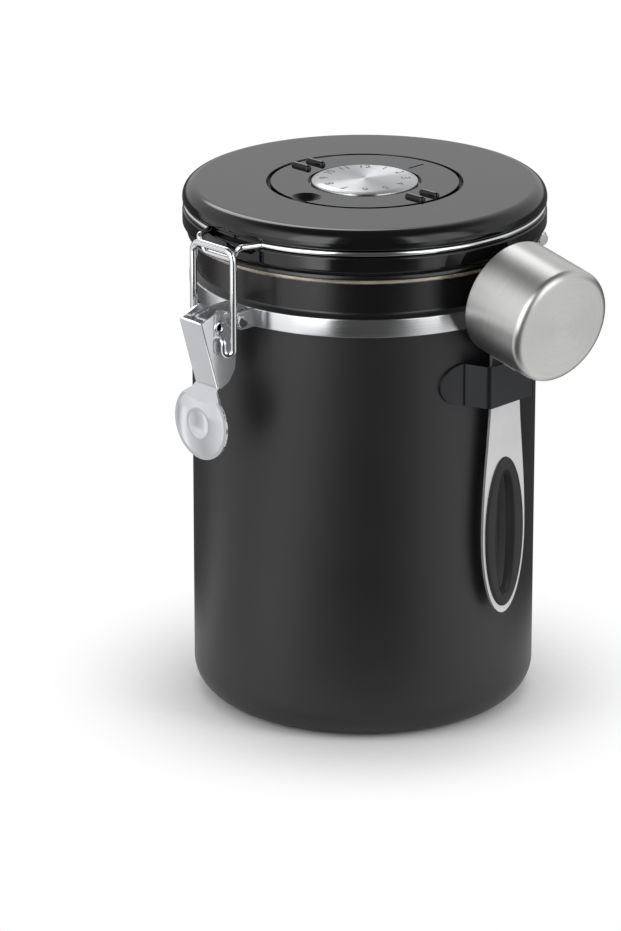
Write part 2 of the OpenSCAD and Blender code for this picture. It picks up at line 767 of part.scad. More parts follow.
module bail_ring() {
    w = bail_wire_r;
    take = asin(leave_l / wire_c);
    f = nose_deg + take;
    g = rear_deg + take;
    fx = wire_c * sin(f);
    fy = wire_c * cos(f);
    gx = wire_c * sin(g);
    gy = wire_c * cos(g);
    ax = eye_x + eye_l / 2;
    nose = [[fx, -fy, groove_z],
        [fx - leave_l * cos(f), -fy - leave_l * sin(f), groove_z],
        [nose_x + nose_slope, -nose_y, groove_z],
        [nose_x, -nose_y, groove_z - nose_drop]];
    other = [for (i = [3 : -1 : 0]) [-nose[i][0], nose[i][1], nose[i][2]]];
    color("#d8dade") {
        // out of the groove on one side, down to the nose and back into the groove
        wire(concat(nose, other),
            [leave_bend, leave_bend, nose_bend, nose_bend, leave_bend, leave_bend], w);
        for (s = [0, 1])
            mirror([s, 0, 0]) {
                translate([0, 0, groove_z])
                    rotate([0, 0, f - 90])
                        rotate_extrude(angle = 180 - f - g, $fn = 160)
                            translate([wire_c, 0])
                                circle(r = w, $fn = 40);
                // arm from the groove to the eye on the hinge pin
                wire([[gx, gy, groove_z],
                    [gx - leave_l * cos(g), gy + leave_l * sin(g), groove_z],
                    [ax, gy + arm_run, groove_z],
                    [ax, hinge_y, hinge_z + eye_r - w]], [leave_bend, arm_bend], w);
                difference() {
                    cross_hole(-hinge_y, hinge_z, eye_r, eye_x, eye_x + eye_l);
                    cross_hole(-hinge_y, hinge_z, hinge_pin_r + pin_clear, eye_x - 1, eye_x + eye_l + 1);
                }
            }
    }
}

module grip_rib() {
    half = rib_l / 2 - rib_w / 2;
    rod([0, -half, 0], [0, half, 0], rib_w / 2);
    for (s = [-1, 1])
        translate([0, s * half, 0])
            sphere(r = rib_w / 2, $fn = 48);
}

module date_ring() {
    bottom = recess_z;
    rib_z = lid_z + rib_h - rib_w / 2;
    color("#19191a")
        turned(dial_turn)
            difference() {
                union() {
                    difference() {
                        translate([0, 0, bottom])
                            cylinder(r = ring_out_r, h = recess_down, $fn = 160);
                        translate([0, 0, lip_top])
                            cylinder(r = ring_in_r, h = 10, $fn = 128);
                        translate([0, 0, bottom - 1])
                            cylinder(r = lip_r, h = 10, $fn = 128);
                    }
                    for (a = [45, 225])
                        rotate([0, 0, a])
                            for (s = [-1, 1])
                                translate([s * rib_half, -rib_at, 0]) {
                                    translate([0, 0, rib_z])
                                        grip_rib();
                                    translate([-rib_w / 2, rib_w / 2 - rib_l / 2, lid_z - rib_root])
                                        cube([rib_w, rib_l - rib_w, rib_z - lid_z + rib_root]);
                                    for (k = [-1, 1])
                                        translate([0, k * (rib_l - rib_w) / 2, lid_z - rib_root])
                                            cylinder(r = rib_w / 2, h = rib_z - lid_z + rib_root, $fn = 48);
                                }
                }
                // thumb notch
                rotate([0, 0, -45])
                    translate([0, -notch_at, lid_z + notch_ball - notch_deep])
                        sphere(r = notch_ball, $fn = 64);
                // pointer line
                rotate([0, 0, -45])
                    translate([-pointer_w / 2, pointer_at, lid_z - pointer_deep])
                        cube([pointer_w, pointer_l, 1]);
            }
}

// thumb spoon seen from the front: a disc with a neck and hollow corners, middle at the origin
function spoon_points(neck_top) =
    let (f = spoon_fillet, cx = flange_x + f, cy = sqrt(pow(spoon_r + f, 2) - cx * cx), q = atan2(cy, cx))
    concat(
        arc(0, 0, spoon_r, q - 4, -176 - q, 60),
        arc(-cx, cy, f, -q, 0, 6),
        [[-flange_x, neck_top], [flange_x, neck_top]],
        arc(cx, cy, f, 180, 180 + q, 6));

// radius of a ball whose cap is a wide and h high
function cap_r(a, h) = (a * a + h * h) / (2 * h);

// half profile of the domed and dished sheet, a step of d behind its outer face
function dome_face(d) =
    let (a = spoon_r - spoon_rim, br = cap_r(a, dome_h), dr = cap_r(dish_r, dish_deep),
        brim = dome_h - br + sqrt(br * br - dish_r * dish_r), n = 8)
    concat(
        [for (i = [0 : n]) let (x = dish_r * i / n) [x, brim - dish_deep + dr - sqrt(dr * dr - x * x) - d]],
        [for (i = [1 : n])
            let (x = dish_r + (a - dish_r) * i / n)
            [x, dome_h - br + sqrt(br * br - x * x) - d]],
        [[2 * spoon_r, -d]]);

module latch_lever() {
    w2 = flange_x;
    t = lever_t;
    // web line, as distance from the axis and height
    nx = cos(web_lean);
    nz = -sin(web_lean);
    ux = sin(web_lean);
    uz = cos(web_lean);
    function on_web(s, d) = [pivot_y + nx * d + ux * s, pivot_z + nz * d + uz * s];
    top = on_web(web_up + 1.8, web_out);
    top_in_p = on_web(web_up + 1.8, web_out - t);
    low = on_web(-web_down, web_out);
    low_in = on_web(-web_down, web_out - t);
    spoon_y = low[0] + spoon_out;
    spoon_z = low[1] - sqrt(pow(spoon_r + spoon_fillet, 2) - pow(w2 + spoon_fillet, 2));
    slope = [spoon_out, -1.3 * spoon_out];
    faces = dome_face(0);
    backs = dome_face(t);
    last = len(backs) - 1;
    flange = concat(
        [top],
        arc(pivot_y, pivot_z, flange_r, 100, 190, 8),
        [[pivot_y - 7.6, pivot_z - 11.5], [pivot_y - 6.8, pivot_z - 16.4]],
        [[pivot_y - 4.2, low[1] + 1.4], on_web(-web_down - 0.6, web_out - t - 0.6)],
        [low_in, low]);
    color("#d3d6da")
        difference() {
            union() {
                side_plate(-w2, w2, [top, top_in_p, low_in, low]);
                side_plate(w2 - t, w2, flange);
                side_plate(-w2, -w2 + t, flange);
                // neck, bent out from the web, and the domed spoon
                intersection() {
                    translate([0, -spoon_y - 10, spoon_z])
                        rotate([-90, 0, 0])
                            mirror([0, 1, 0])
                                linear_extrude(height = 20)
                                    polygon(spoon_points(low[1] - spoon_z + 1));
                    union() {
                        side_plate(-spoon_r, spoon_r, [low, low_in, low + slope - [t, t / 3], low + slope]);
                        difference() {
                            translate([0, -spoon_y, spoon_z])
                                rotate([90, 0, 0])
                                    rotate_extrude($fn = 128)
                                        polygon(concat(faces, [for (i = [last : -1 : 0]) backs[i]]));
                            // what would stand in front of the neck
                            side_plate(-3 * spoon_r, 3 * spoon_r,
                                [low, low + 2 * slope, low + [spoon_r, 2 * slope[1]],
                                low + [spoon_r, spoon_r], low + [0, spoon_r]]);
                        }
                    }
                }
            }
            cross_hole(pivot_y, pivot_z, rivet_r, -w2 - 1, w2 + 1);
            cross_hole(link_py, link_pz, link_wire_r + pin_clear, -w2 - 1, w2 + 1);
        }
}

module pivot_rivet() {
    color("#c9b8a6")
        difference() {
            union() {
                cross_hole(pivot_y, pivot_z, rivet_r, -flange_x - e, flange_x + e);
                for (s = [0, 1])
                    mirror([s, 0, 0])
                        cross_hole(pivot_y, pivot_z, rivet_head_r, flange_x, flange_x + rivet_head_t);
            }
            cross_hole(pivot_y, pivot_z, rivet_bore_r, -flange_x - 2, flange_x + 2);
        }
}

module latch_link() {
    w = link_wire_r;
    gap = norm([link_x - hairpin_x, link_py - link_y]);
    low = link_pz - hairpin_down - gap / 2;
    color("#d8dade")
        for (s = [0, 1])
            mirror([s, 0, 0])
                wire([[0, -link_y, link_z],
                    [link_x, -link_y, link_z],
                    [link_x, -link_y, low],
                    [hairpin_x, -link_py, low],
                    [hairpin_x, -link_py, link_pz],
                    [flange_x - lever_t + 0.15, -link_py, link_pz]],
                    [link_round, gap / 2, gap / 2, link_end_bend], w);
}

// how the scoop hangs in its clip: beside the middle and a little turned
module hung() {
    turned(clip_turn)
        translate([scoop_side, -handle_mid, 0])
            rotate([0, 0, -scoop_twist])
                translate([0, handle_mid, 0])
                    children();
}

// the cup's own frame: +Z runs from the mouth's middle to the cup's bottom
module at_cup() {
    translate([0, -mouth_r, cup_z])
        rotate([90 + cup_tilt, 0, 0])
            children();
}

module scoop_cup() {
    rc = cup_round;
    t = cup_t;
    color("#b9b7b4")
        hung()
            at_cup()
                rotate_extrude($fn = 128)
                    polygon(concat(
                        [[cup_r - t, 0], [cup_r, 0]],
                        arc(cup_r - rc, cup_l - rc, rc, 0, 90, 8),
                        [[0, cup_l], [0, cup_l - t]],
                        arc(cup_r - rc, cup_l - rc, rc - t, 90, 0, 8)));
}

// half width of the handle at a height: an oval round the grip, and a neck above it
function handle_half(z) =
    let (low_b = grip_mid - handle_low, a = handle_w / 2, neck = handle_top_w / 2,
        up = min(1, (z - grip_mid) / (clip_z - clip_h - grip_mid)))
    z <= grip_mid
        ? a * sqrt(max(0, 1 - pow((grip_mid - z) / low_b, 2)))
        : neck + (a - neck) * pow(cos(90 * up), 1.4);

module handle_outline(top) {
    low_b = grip_mid - handle_low;
    zs = concat([for (i = [0 : 12]) handle_low + low_b * (1 - cos(90 * i / 12))],
        [for (i = [1 : 10]) grip_mid + (clip_z - clip_h - grip_mid) * i / 10], [top]);
    polygon(concat(
        [for (z = zs) [handle_half(z), z]],
        [for (i = [len(zs) - 1 : -1 : 0]) [-handle_half(zs[i]), zs[i]]]));
}

// an upright oval block in the handle's plane, from distance y0 out to y1 from the axis
module oval(w, l, y0, y1) {
    translate([0, -y0, grip_mid])
        rotate([90, 0, 0])
            scale([w / l, 1, 1])
                cylinder(r = l / 2, h = y1 - y0, $fn = 96);
}

module scoop_handle() {
    window = 2 * grip_seat;
    color("#cfd0d2")
        hung() {
            // strip with the window that the grip sits in, cut off inside the tab
            difference() {
                translate([0, -handle_in, 0])
                    rotate([90, 0, 0])
                        linear_extrude(height = handle_t)
                            handle_outline(clip_z + 6);
                oval(grip_w - window, grip_l - window, handle_in - 1, handle_out + 1);
                at_cup()
                    translate([0, 0, -20])
                        cylinder(r = tab_r - handle_t / 2, h = 60, $fn = 128);
            }
            // tab under the cup
            at_cup()
                intersection() {
                    difference() {
                        cylinder(r = tab_r, h = under_tab_l, $fn = 128);
                        translate([0, 0, -1])
                            cylinder(r = tab_r - handle_t, h = under_tab_l + 2, $fn = 128);
                    }
                    translate([-handle_top_w / 2, -tab_r - 1, tab_at])
                        cube([handle_top_w, tab_r, under_tab_l]);
                }
        }
}

module scoop_grip() {
    window = 2 * grip_seat;
    slot = 2 * grip_band;
    color("#202123")
        hung()
            difference() {
                union() {
                    oval(grip_w - window, grip_l - window, handle_in, handle_out + e);
                    translate([0, -handle_out, grip_mid])
                        rotate([90, 0, 0])
                            scale([grip_w / grip_l, 1, 1])
                                cylinder(r1 = grip_l / 2, r2 = grip_l / 2 - 1, h = grip_out, $fn = 96);
                }
                oval(grip_w - slot, grip_l - slot, handle_in - 1, handle_out + grip_out + 1);
            }
}

canister_body();
neck_band();
latch_bracket();
clamp_bolt();
clamp_nut();
hinge_bracket();
hinge_pin();
scoop_clip();
lid_cover();
lid_gasket();
lid_liner();
valve_seat();
valve_flap();
dial_plate();
bail_ring();
date_ring();
latch_lever();
pivot_rivet();
latch_link();
scoop_cup();
scoop_handle();
scoop_grip();
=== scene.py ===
# %% [markdown]
# # A steel food canister with a wire latch, a valve lid and a scoop
#
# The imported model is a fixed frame: every solid has its real place and size.
# This file dresses it. Turned pieces are spun again here from their profiles,
# so that their curves reflect without facets, and bent wires are swept along
# their paths. Sheet pieces keep their solids and get clean shading. Every
# piece then gets the finish of the real thing.

# %% Load the frame
import json
import math

import bmesh
import bpy
from mathutils import Matrix, Vector


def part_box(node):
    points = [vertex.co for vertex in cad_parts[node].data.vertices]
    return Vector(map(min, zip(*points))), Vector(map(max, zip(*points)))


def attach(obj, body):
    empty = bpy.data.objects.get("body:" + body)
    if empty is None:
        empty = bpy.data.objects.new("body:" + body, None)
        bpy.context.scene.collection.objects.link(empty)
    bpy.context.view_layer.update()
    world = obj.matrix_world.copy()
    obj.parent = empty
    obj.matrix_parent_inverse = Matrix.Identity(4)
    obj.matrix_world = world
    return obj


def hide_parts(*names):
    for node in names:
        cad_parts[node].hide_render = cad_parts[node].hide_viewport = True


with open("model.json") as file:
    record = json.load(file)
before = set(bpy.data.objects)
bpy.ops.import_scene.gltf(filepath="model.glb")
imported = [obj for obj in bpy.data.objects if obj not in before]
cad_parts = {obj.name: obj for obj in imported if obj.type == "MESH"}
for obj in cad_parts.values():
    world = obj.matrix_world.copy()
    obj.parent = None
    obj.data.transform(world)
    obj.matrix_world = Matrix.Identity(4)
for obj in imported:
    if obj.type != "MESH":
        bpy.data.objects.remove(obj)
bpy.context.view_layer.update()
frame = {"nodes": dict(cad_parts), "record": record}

nodes = frame["nodes"]
bodies = {node: body for body, members in frame["record"]["behaviour"]["bodies"].items() for node in members}
scene = bpy.context.scene
MM = 0.001

# %% [markdown]
# ## Directions as the camera sees them
#
# The photograph looks at the canister from between the latch and the scoop.
# All lamps and shades are set out in the camera's own directions, so that
# left and right mean what they mean in the picture.

# %% View directions
VIEW_TURN = math.radians(46.5)
RIGHT = Vector((math.cos(VIEW_TURN), math.sin(VIEW_TURN), 0))
AWAY = Vector((-math.sin(VIEW_TURN), math.cos(VIEW_TURN), 0))


def round_the_canister(degrees, distance, height):
    """A point seen at so many degrees to the right of the camera, from the canister's axis."""
    turn = math.radians(degrees)
    return (RIGHT * math.sin(turn) - AWAY * math.cos(turn)) * distance + Vector((0, 0, height))


# %% [markdown]
# ## Measures
#
# Heights and radii come from the frame's boxes. What a box doesn't show, such
# as corner radii, sheet and wire thickness, is a named size.

# %% Measures
LID_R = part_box("lid_cover")[1].x
LID_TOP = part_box("lid_cover")[1].z
LID_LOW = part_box("lid_cover")[0].z
BODY_R = LID_R - 3 * MM
NECK_R = LID_R - 5 * MM
RIM_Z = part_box("canister_body")[1].z
BAND_LOW, BAND_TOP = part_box("neck_band")[0].z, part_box("neck_band")[1].z
SHOULDER_TOP = BAND_TOP + 1.7 * MM
SHOULDER_LOW = SHOULDER_TOP - 2.7 * MM
WALL = 0.8 * MM
BAND_R = BODY_R + 0.8 * MM
WIRE_Z = LID_TOP - 7.6 * MM
WIRE_R = 1.0 * MM
WIRE_AT = LID_R - 0.2 * MM - WIRE_R
LINK_WIRE_R = 1.2 * MM
PIVOT_Y = LID_R + 10.4 * MM
PIVOT_Z = BAND_TOP - 4.4 * MM
HINGE_Y = LID_R + 9 * MM
HINGE_Z = BAND_TOP - 1.3 * MM
DIAL_LOW, DIAL_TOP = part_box("dial_plate")[0].z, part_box("dial_plate")[1].z
DIAL_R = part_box("dial_plate")[1].x
print("lid radius", round(LID_R / MM, 2), "lid top", round(LID_TOP / MM, 2), "rim", round(RIM_Z / MM, 2))

# %% [markdown]
# ## Helpers for finishes
#
# Colours are written as sRGB hex values, as a paint maker gives them. Blender
# works in linear light, so one function converts them. Node trees are built
# with one function that adds a node, sets it and links its inputs.

# %% Colour and node helpers
def linear(hex_colour):
    parts = [int(hex_colour[i:i + 2], 16) / 255 for i in (1, 3, 5)]
    low = [c / 12.92 if c <= 0.04045 else ((c + 0.055) / 1.055) ** 2.4 for c in parts]
    return (*low, 1.0)


def add(tree, kind, inputs=None, **settings):
    node = tree.nodes.new(kind)
    for key, value in settings.items():
        setattr(node, key, value)
    for key, value in (inputs or {}).items():
        if isinstance(value, bpy.types.NodeSocket):
            tree.links.new(value, node.inputs[key])
        else:
            node.inputs[key].default_value = value
    return node


def new_finish(name):
    material = bpy.data.materials.new(name)
    material.use_nodes = True
    tree = material.node_tree
    tree.nodes.clear()
    shader = add(tree, "ShaderNodeBsdfPrincipled")
    add(tree, "ShaderNodeOutputMaterial", {"Surface": shader.outputs[0]})
    return material, tree, shader


def mottle(tree, place, per_metre, low, high, detail=3.0):
    """A soft noise, scaled to run from low to high."""
    cloud = add(tree, "ShaderNodeTexNoise", {"Vector": place, "Scale": per_metre, "Detail": detail})
    return add(tree, "ShaderNodeMapRange", {"Value": cloud.outputs[0], "From Min": 0.3, "From Max": 0.7,
                                            "To Min": low, "To Max": high}).outputs[0]


def two_tones(tree, factor, dark, light):
    mix = add(tree, "ShaderNodeMix", data_type="RGBA")
    tree.links.new(factor, mix.inputs[0])
    mix.inputs[6].default_value = linear(dark)
    mix.inputs[7].default_value = linear(light)
    return mix.outputs[2]


def grain_bump(tree, height, strength, depth):
    return add(tree, "ShaderNodeBump", {"Height": height, "Strength": strength, "Distance": depth}).outputs[0]


# %% [markdown]
# ## Satin black powder coat
#
# The wall is stainless steel under a baked black powder coat. Powder melts
# into a skin with a very fine orange peel, so the coat is half matt and its
# highlight is broad. The real peel is about 0.4 mm across. The wall is rubbed
# down a little rougher than the neck, which the lid covers while it bakes.

# %% Powder coat
def powder_coat(name, dark, light, rough_range):
    material, tree, shader = new_finish(name)
    place = add(tree, "ShaderNodeTexCoord").outputs["Object"]
    peel = add(tree, "ShaderNodeTexNoise", {"Vector": place, "Scale": 1 / (0.4 * MM), "Detail": 1.0})
    tree.links.new(two_tones(tree, mottle(tree, place, 30, 0, 1), dark, light), shader.inputs["Base Color"])
    tree.links.new(mottle(tree, place, 45, *rough_range), shader.inputs["Roughness"])
    tree.links.new(grain_bump(tree, peel.outputs[0], 0.1, 0.02 * MM), shader.inputs["Normal"])
    shader.inputs["IOR"].default_value = 1.5
    return material


# %% [markdown]
# ## Polished wire and satin sheet
#
# The wires and the hinge are polished to a mirror with a faint haze. The
# lever and the scoop's handle are stamped from sheet and tumbled with fine
# beads, which leaves a satin skin. It scatters part of the light as a pale
# matt surface does, so that it stays light where a mirror would show the dark
# wall beside it. The beads leave pits of about 0.3 mm.

# %% Wire and sheet
def polished(name, tint, low, high):
    material, tree, shader = new_finish(name)
    place = add(tree, "ShaderNodeTexCoord").outputs["Object"]
    tree.links.new(mottle(tree, place, 1 / (8 * MM), low, high), shader.inputs["Roughness"])
    shader.inputs["Base Color"].default_value = linear(tint)
    shader.inputs["Metallic"].default_value = 1.0
    return material


def satin(name, dark, light, rough_range, metal_share, pit_depth):
    material, tree, shader = new_finish(name)
    place = add(tree, "ShaderNodeTexCoord").outputs["Object"]
    pits = add(tree, "ShaderNodeTexNoise", {"Vector": place, "Scale": 1 / (0.3 * MM), "Detail": 2.0})
    tree.links.new(two_tones(tree, mottle(tree, place, 90, 0, 1), dark, light), shader.inputs["Base Color"])
    tree.links.new(mottle(tree, place, 120, *rough_range), shader.inputs["Roughness"])
    tree.links.new(grain_bump(tree, pits.outputs[0], 0.2, pit_depth), shader.inputs["Normal"])
    shader.inputs["Metallic"].default_value = metal_share
    return material


# %% [markdown]
# ## Metal with a turned grain
#
# The dial, the cup and the band carry fine lines that run round an axis: the
# dial and the cup are brushed on a lathe, and the band's strip is rolled along
# its length. Such lines spread a highlight across themselves and hardly along
# themselves. That draws the bright wedge on the dial and the long upright
# gradients on the band. The grain is a noise read along the axis, out from it
# and, much more slowly, round it. The surface's tangent lies across the lines.

# %% Turned grain
def turned_grain(name, dark, light, middle, axis, line, rough_range, depth, stretch):
    material, tree, shader = new_finish(name)
    axis = Vector(axis).normalized()
    side = axis.orthogonal().normalized()
    place = add(tree, "ShaderNodeTexCoord").outputs["Object"]
    moved = add(tree, "ShaderNodeVectorMath", {0: place, 1: middle}, operation="SUBTRACT").outputs[0]
    along = add(tree, "ShaderNodeVectorMath", {0: moved, 1: axis}, operation="DOT_PRODUCT").outputs["Value"]
    on_axis = add(tree, "ShaderNodeVectorMath", {0: axis, "Scale": along}, operation="SCALE").outputs[0]
    spoke = add(tree, "ShaderNodeVectorMath", {0: moved, 1: on_axis}, operation="SUBTRACT").outputs[0]
    radius = add(tree, "ShaderNodeVectorMath", {0: spoke}, operation="LENGTH").outputs["Value"]
    one = add(tree, "ShaderNodeVectorMath", {0: spoke, 1: side}, operation="DOT_PRODUCT").outputs["Value"]
    two = add(tree, "ShaderNodeVectorMath", {0: spoke, 1: axis.cross(side)}, operation="DOT_PRODUCT").outputs["Value"]
    turn = add(tree, "ShaderNodeMath", {0: two, 1: one}, operation="ARCTAN2").outputs[0]
    rows = add(tree, "ShaderNodeMath", {0: along, 1: 1 / line}, operation="MULTIPLY").outputs[0]
    rings = add(tree, "ShaderNodeMath", {0: radius, 1: 1 / line}, operation="MULTIPLY").outputs[0]
    where = add(tree, "ShaderNodeCombineXYZ", {0: rows, 1: rings, 2: turn}).outputs[0]
    grain = add(tree, "ShaderNodeTexNoise", {"Vector": where, "Scale": 1.0, "Detail": 4.0, "Roughness": 0.7})
    level = add(tree, "ShaderNodeMapRange", {"Value": grain.outputs[0], "From Min": 0.3, "From Max": 0.7}).outputs[0]
    rough = add(tree, "ShaderNodeMapRange", {"Value": level, "To Min": rough_range[0], "To Max": rough_range[1]})
    line_way = add(tree, "ShaderNodeVectorMath", {0: axis, 1: spoke}, operation="CROSS_PRODUCT").outputs[0]
    turned_way = add(tree, "ShaderNodeVectorTransform", {0: line_way}, vector_type="VECTOR",
                     convert_from="OBJECT", convert_to="WORLD").outputs[0]
    normal = add(tree, "ShaderNodeNewGeometry").outputs["Normal"]
    across = add(tree, "ShaderNodeVectorMath", {0: turned_way, 1: normal}, operation="CROSS_PRODUCT").outputs[0]
    unit = add(tree, "ShaderNodeVectorMath", {0: across}, operation="NORMALIZE").outputs[0]
    tree.links.new(two_tones(tree, level, dark, light), shader.inputs["Base Color"])
    tree.links.new(rough.outputs[0], shader.inputs["Roughness"])
    tree.links.new(grain_bump(tree, grain.outputs[0], 0.3, depth), shader.inputs["Normal"])
    tree.links.new(unit, shader.inputs["Tangent"])
    shader.inputs["Metallic"].default_value = 1.0
    shader.inputs["Anisotropic"].default_value = stretch
    return material


# %% [markdown]
# ## Moulded plastic, rubber, enamel and ink
#
# The lid is injection moulded and comes out of a polished mould, so it is
# glossy with hardly any texture. The liner, the grip and the seal come out of
# blasted moulds and are dull. All of them share one form: a tint, a range of
# roughness and a very fine bump.

# %% Plastics
def moulded(name, dark, light, rough_range, bump_size, bump_depth, ior=1.5):
    material, tree, shader = new_finish(name)
    place = add(tree, "ShaderNodeTexCoord").outputs["Object"]
    skin_noise = add(tree, "ShaderNodeTexNoise", {"Vector": place, "Scale": 1 / bump_size, "Detail": 2.0})
    tree.links.new(two_tones(tree, mottle(tree, place, 50, 0, 1), dark, light), shader.inputs["Base Color"])
    tree.links.new(mottle(tree, place, 80, *rough_range), shader.inputs["Roughness"])
    tree.links.new(grain_bump(tree, skin_noise.outputs[0], 0.2, bump_depth), shader.inputs["Normal"])
    shader.inputs["IOR"].default_value = ior
    return material


# %% [markdown]
# ## The scoop's own frame
#
# The scoop hangs a little turned in its clip, and its cup tips down from the
# mouth. The cup's axis starts in the middle of the mouth.

# %% Scoop frame
CLIP_TURN = math.radians(93.0)
SCOOP_TWIST = math.radians(7.0)
CUP_TILT = math.radians(10.0)
SCOOP_SIDE = 0.6 * MM
CUP_R = 20.0 * MM
CUP_L = 26.5 * MM
CUP_T = 0.8 * MM
CUP_ROUND = 2.8 * MM
HANDLE_T = 1.2 * MM
SCOOP_GAP = 0.65 * MM
CLIP_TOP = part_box("scoop_clip")[1].z
half_w = 9.3 * MM
swing = half_w * math.sin(SCOOP_TWIST)
fall = LID_R - math.sqrt(LID_R ** 2 - half_w ** 2)
handle_mid = LID_R + SCOOP_GAP + HANDLE_T / 2 + max(0, swing - fall)
mouth_out = LID_R + SCOOP_GAP + CUP_R * math.sin(CUP_TILT)
cup_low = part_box("scoop_cup")[0].z
CUP_Z = cup_low + CUP_R * math.cos(CUP_TILT) + (CUP_L - CUP_ROUND) * math.sin(CUP_TILT)
HUNG = (Matrix.Rotation(CLIP_TURN, 4, "Z") @ Matrix.Translation((SCOOP_SIDE, -handle_mid, 0))
        @ Matrix.Rotation(-SCOOP_TWIST, 4, "Z") @ Matrix.Translation((0, handle_mid, 0)))
AT_CUP = HUNG @ Matrix.Translation((0, -mouth_out, CUP_Z)) @ Matrix.Rotation(math.pi / 2 + CUP_TILT, 4, "X")
cup_axis = (AT_CUP.to_3x3() @ Vector((0, 0, 1))).normalized()
cup_mouth = AT_CUP @ Vector((0, 0, 0))
print("cup mouth", [round(c / MM, 1) for c in cup_mouth], "axis", [round(c, 3) for c in cup_axis])

# %% The finishes
coat = powder_coat("satin_black_powder_coat", "#151516", "#19191A", (0.40, 0.44))
neck_coat = powder_coat("smooth_black_powder_coat", "#0C0C0D", "#0F0F10", (0.24, 0.28))
bright = polished("polished_stainless_wire", "#DCDDDF", 0.05, 0.09)
# The pale rim strip is a painted highlight for the glint on the rolled bead.
painted_rim_highlight = satin("painted_rim_highlight_steel", "#A8A193", "#D6CFC0", (0.20, 0.32), 0.7, 0.08 * MM)
lever_steel = satin("bead_tumbled_steel", "#CDCED1", "#D6D7DA", (0.10, 0.15), 0.74, 0.001 * MM)
sheet = satin("satin_sheet_steel", "#C8C7C8", "#CECDCE", (0.30, 0.38), 0.7, 0.004 * MM)
band_steel = turned_grain("rolled_strip_steel", "#CBCCCE", "#D8D9DB", (0, 0, 0), (0, 0, 1), 0.3 * MM,
                          (0.20, 0.24), 0.001 * MM, 1.0)
brushed = turned_grain("lathe_brushed_steel", "#BEBEBD", "#D2D2D1", cup_mouth, cup_axis, 0.25 * MM,
                       (0.30, 0.38), 0.003 * MM, 0.55)
spun_dial = turned_grain("spun_aluminium", "#B2B3B5", "#C0C1C3", (0, 0, 0), (0, 0, 1), 0.12 * MM,
                         (0.28, 0.34), 0.003 * MM, 0.9)
gloss = moulded("gloss_black_abs", "#0A0A0B", "#0D0D0E", (0.04, 0.07), 1.5 * MM, 0.004 * MM, 1.45)
ring_gloss = moulded("gloss_black_ring", "#090909", "#0C0C0C", (0.04, 0.07), 1.5 * MM, 0.004 * MM, 1.43)
matt = moulded("dark_moulded_polypropylene", "#232425", "#2A2B2C", (0.38, 0.46), 0.3 * MM, 0.02 * MM)
rubber = moulded("black_silicone_rubber", "#1B1B1C", "#212122", (0.42, 0.5), 0.25 * MM, 0.02 * MM, 1.42)
seal = moulded("white_silicone", "#C4C4C0", "#D0D0CC", (0.4, 0.5), 0.4 * MM, 0.02 * MM)
enamel = moulded("semi_gloss_black_enamel", "#18191D", "#1B1C20", (0.13, 0.18), 0.5 * MM, 0.002 * MM, 1.4)
ink = moulded("black_dial_ink", "#2A2A2A", "#343434", (0.45, 0.55), 0.2 * MM, 0.004 * MM)

# %% [markdown]
# ## Making and placing a piece
#
# Each mesh becomes one object that rides on its solid's body and stands for
# that solid. Shading is smooth except across real edges. A weighted-normal
# pass keeps large faces flat, so that reflections run straight over them.

# %% Pieces
def new_piece(name, mesh, material, node, sharp=32, flat_area=None):
    mesh.materials.clear()
    mesh.materials.append(material)
    for face in mesh.polygons:
        face.use_smooth = True
        face.material_index = 0
    mesh.set_sharp_from_angle(angle=math.radians(sharp))
    for face in mesh.polygons:
        if flat_area and face.area > flat_area:
            for corner in face.loop_indices:
                mesh.edges[mesh.loops[corner].edge_index].use_edge_sharp = True
    piece = bpy.data.objects.new(name, mesh)
    scene.collection.objects.link(piece)
    weight = piece.modifiers.new("even_shading", "WEIGHTED_NORMAL")
    weight.keep_sharp = True
    done = bpy.data.meshes.new_from_object(piece.evaluated_get(bpy.context.evaluated_depsgraph_get()))
    piece.modifiers.clear()
    piece.data = done
    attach(piece, bodies[node])
    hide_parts(node)
    print(name, len(done.polygons), "faces")
    return piece


def mesh_of(shape, name):
    bmesh.ops.recalc_face_normals(shape, faces=shape.faces)
    mesh = bpy.data.meshes.new(name)
    shape.to_mesh(mesh)
    shape.free()
    return mesh


# %% [markdown]
# ## Turned pieces
#
# Wall, rim, band, lid, dial and cup are all round about an axis. Real ones are
# spun or pressed, and their corners have small radii. Each is one closed
# profile of radius and height, with its corners as arcs, turned in 192 steps.
# Below the rolled rim, a thin pale strip, warm in tone and a little rough, is laid round the
# coat. It is a painted highlight that stands for the glint on the rolled bead.

# %% Turning
def arc(middle_r, middle_z, radius, start, end, steps=8):
    return [(middle_r + radius * math.cos(math.radians(start + (end - start) * i / steps)),
             middle_z + radius * math.sin(math.radians(start + (end - start) * i / steps)))
            for i in range(steps + 1)]


def turned(name, profile, material, node, at=Matrix.Identity(4), steps=192, sharp=32):
    """A closed profile of (radius, height) spun round the axis of the frame at."""
    shape = bmesh.new()
    rows = []
    for radius, height in profile:
        count = 1 if radius < 1e-7 else steps
        rows.append([shape.verts.new(at @ Vector((radius * math.cos(2 * math.pi * i / count),
                                                  radius * math.sin(2 * math.pi * i / count), height)))
                     for i in range(count)])
    for here, there in zip(rows, rows[1:] + rows[:1]):
        for i in range(max(len(here), len(there)) if len(here) + len(there) > 2 else 0):
            j = (i + 1) % steps
            corners = [here[i % len(here)], here[j % len(here)], there[j % len(there)], there[i % len(there)]]
            shape.faces.new(list(dict.fromkeys(corners)))
    return new_piece(name, mesh_of(shape, name), material, node, sharp)


# %% Wall and rim
BASE_ROUND = 11 * MM
FOOT_R = BODY_R - BASE_ROUND - 5 * MM
FOOT_H = 1.6 * MM


def shoulder(inset):
    """The press-formed step from wall to neck, as a smooth S."""
    rows = [i / 12 for i in range(13)]
    return [(BODY_R - inset - (BODY_R - NECK_R) * (1 - math.cos(math.pi * t)) / 2,
             SHOULDER_LOW + (SHOULDER_TOP - SHOULDER_LOW) * t) for t in rows]


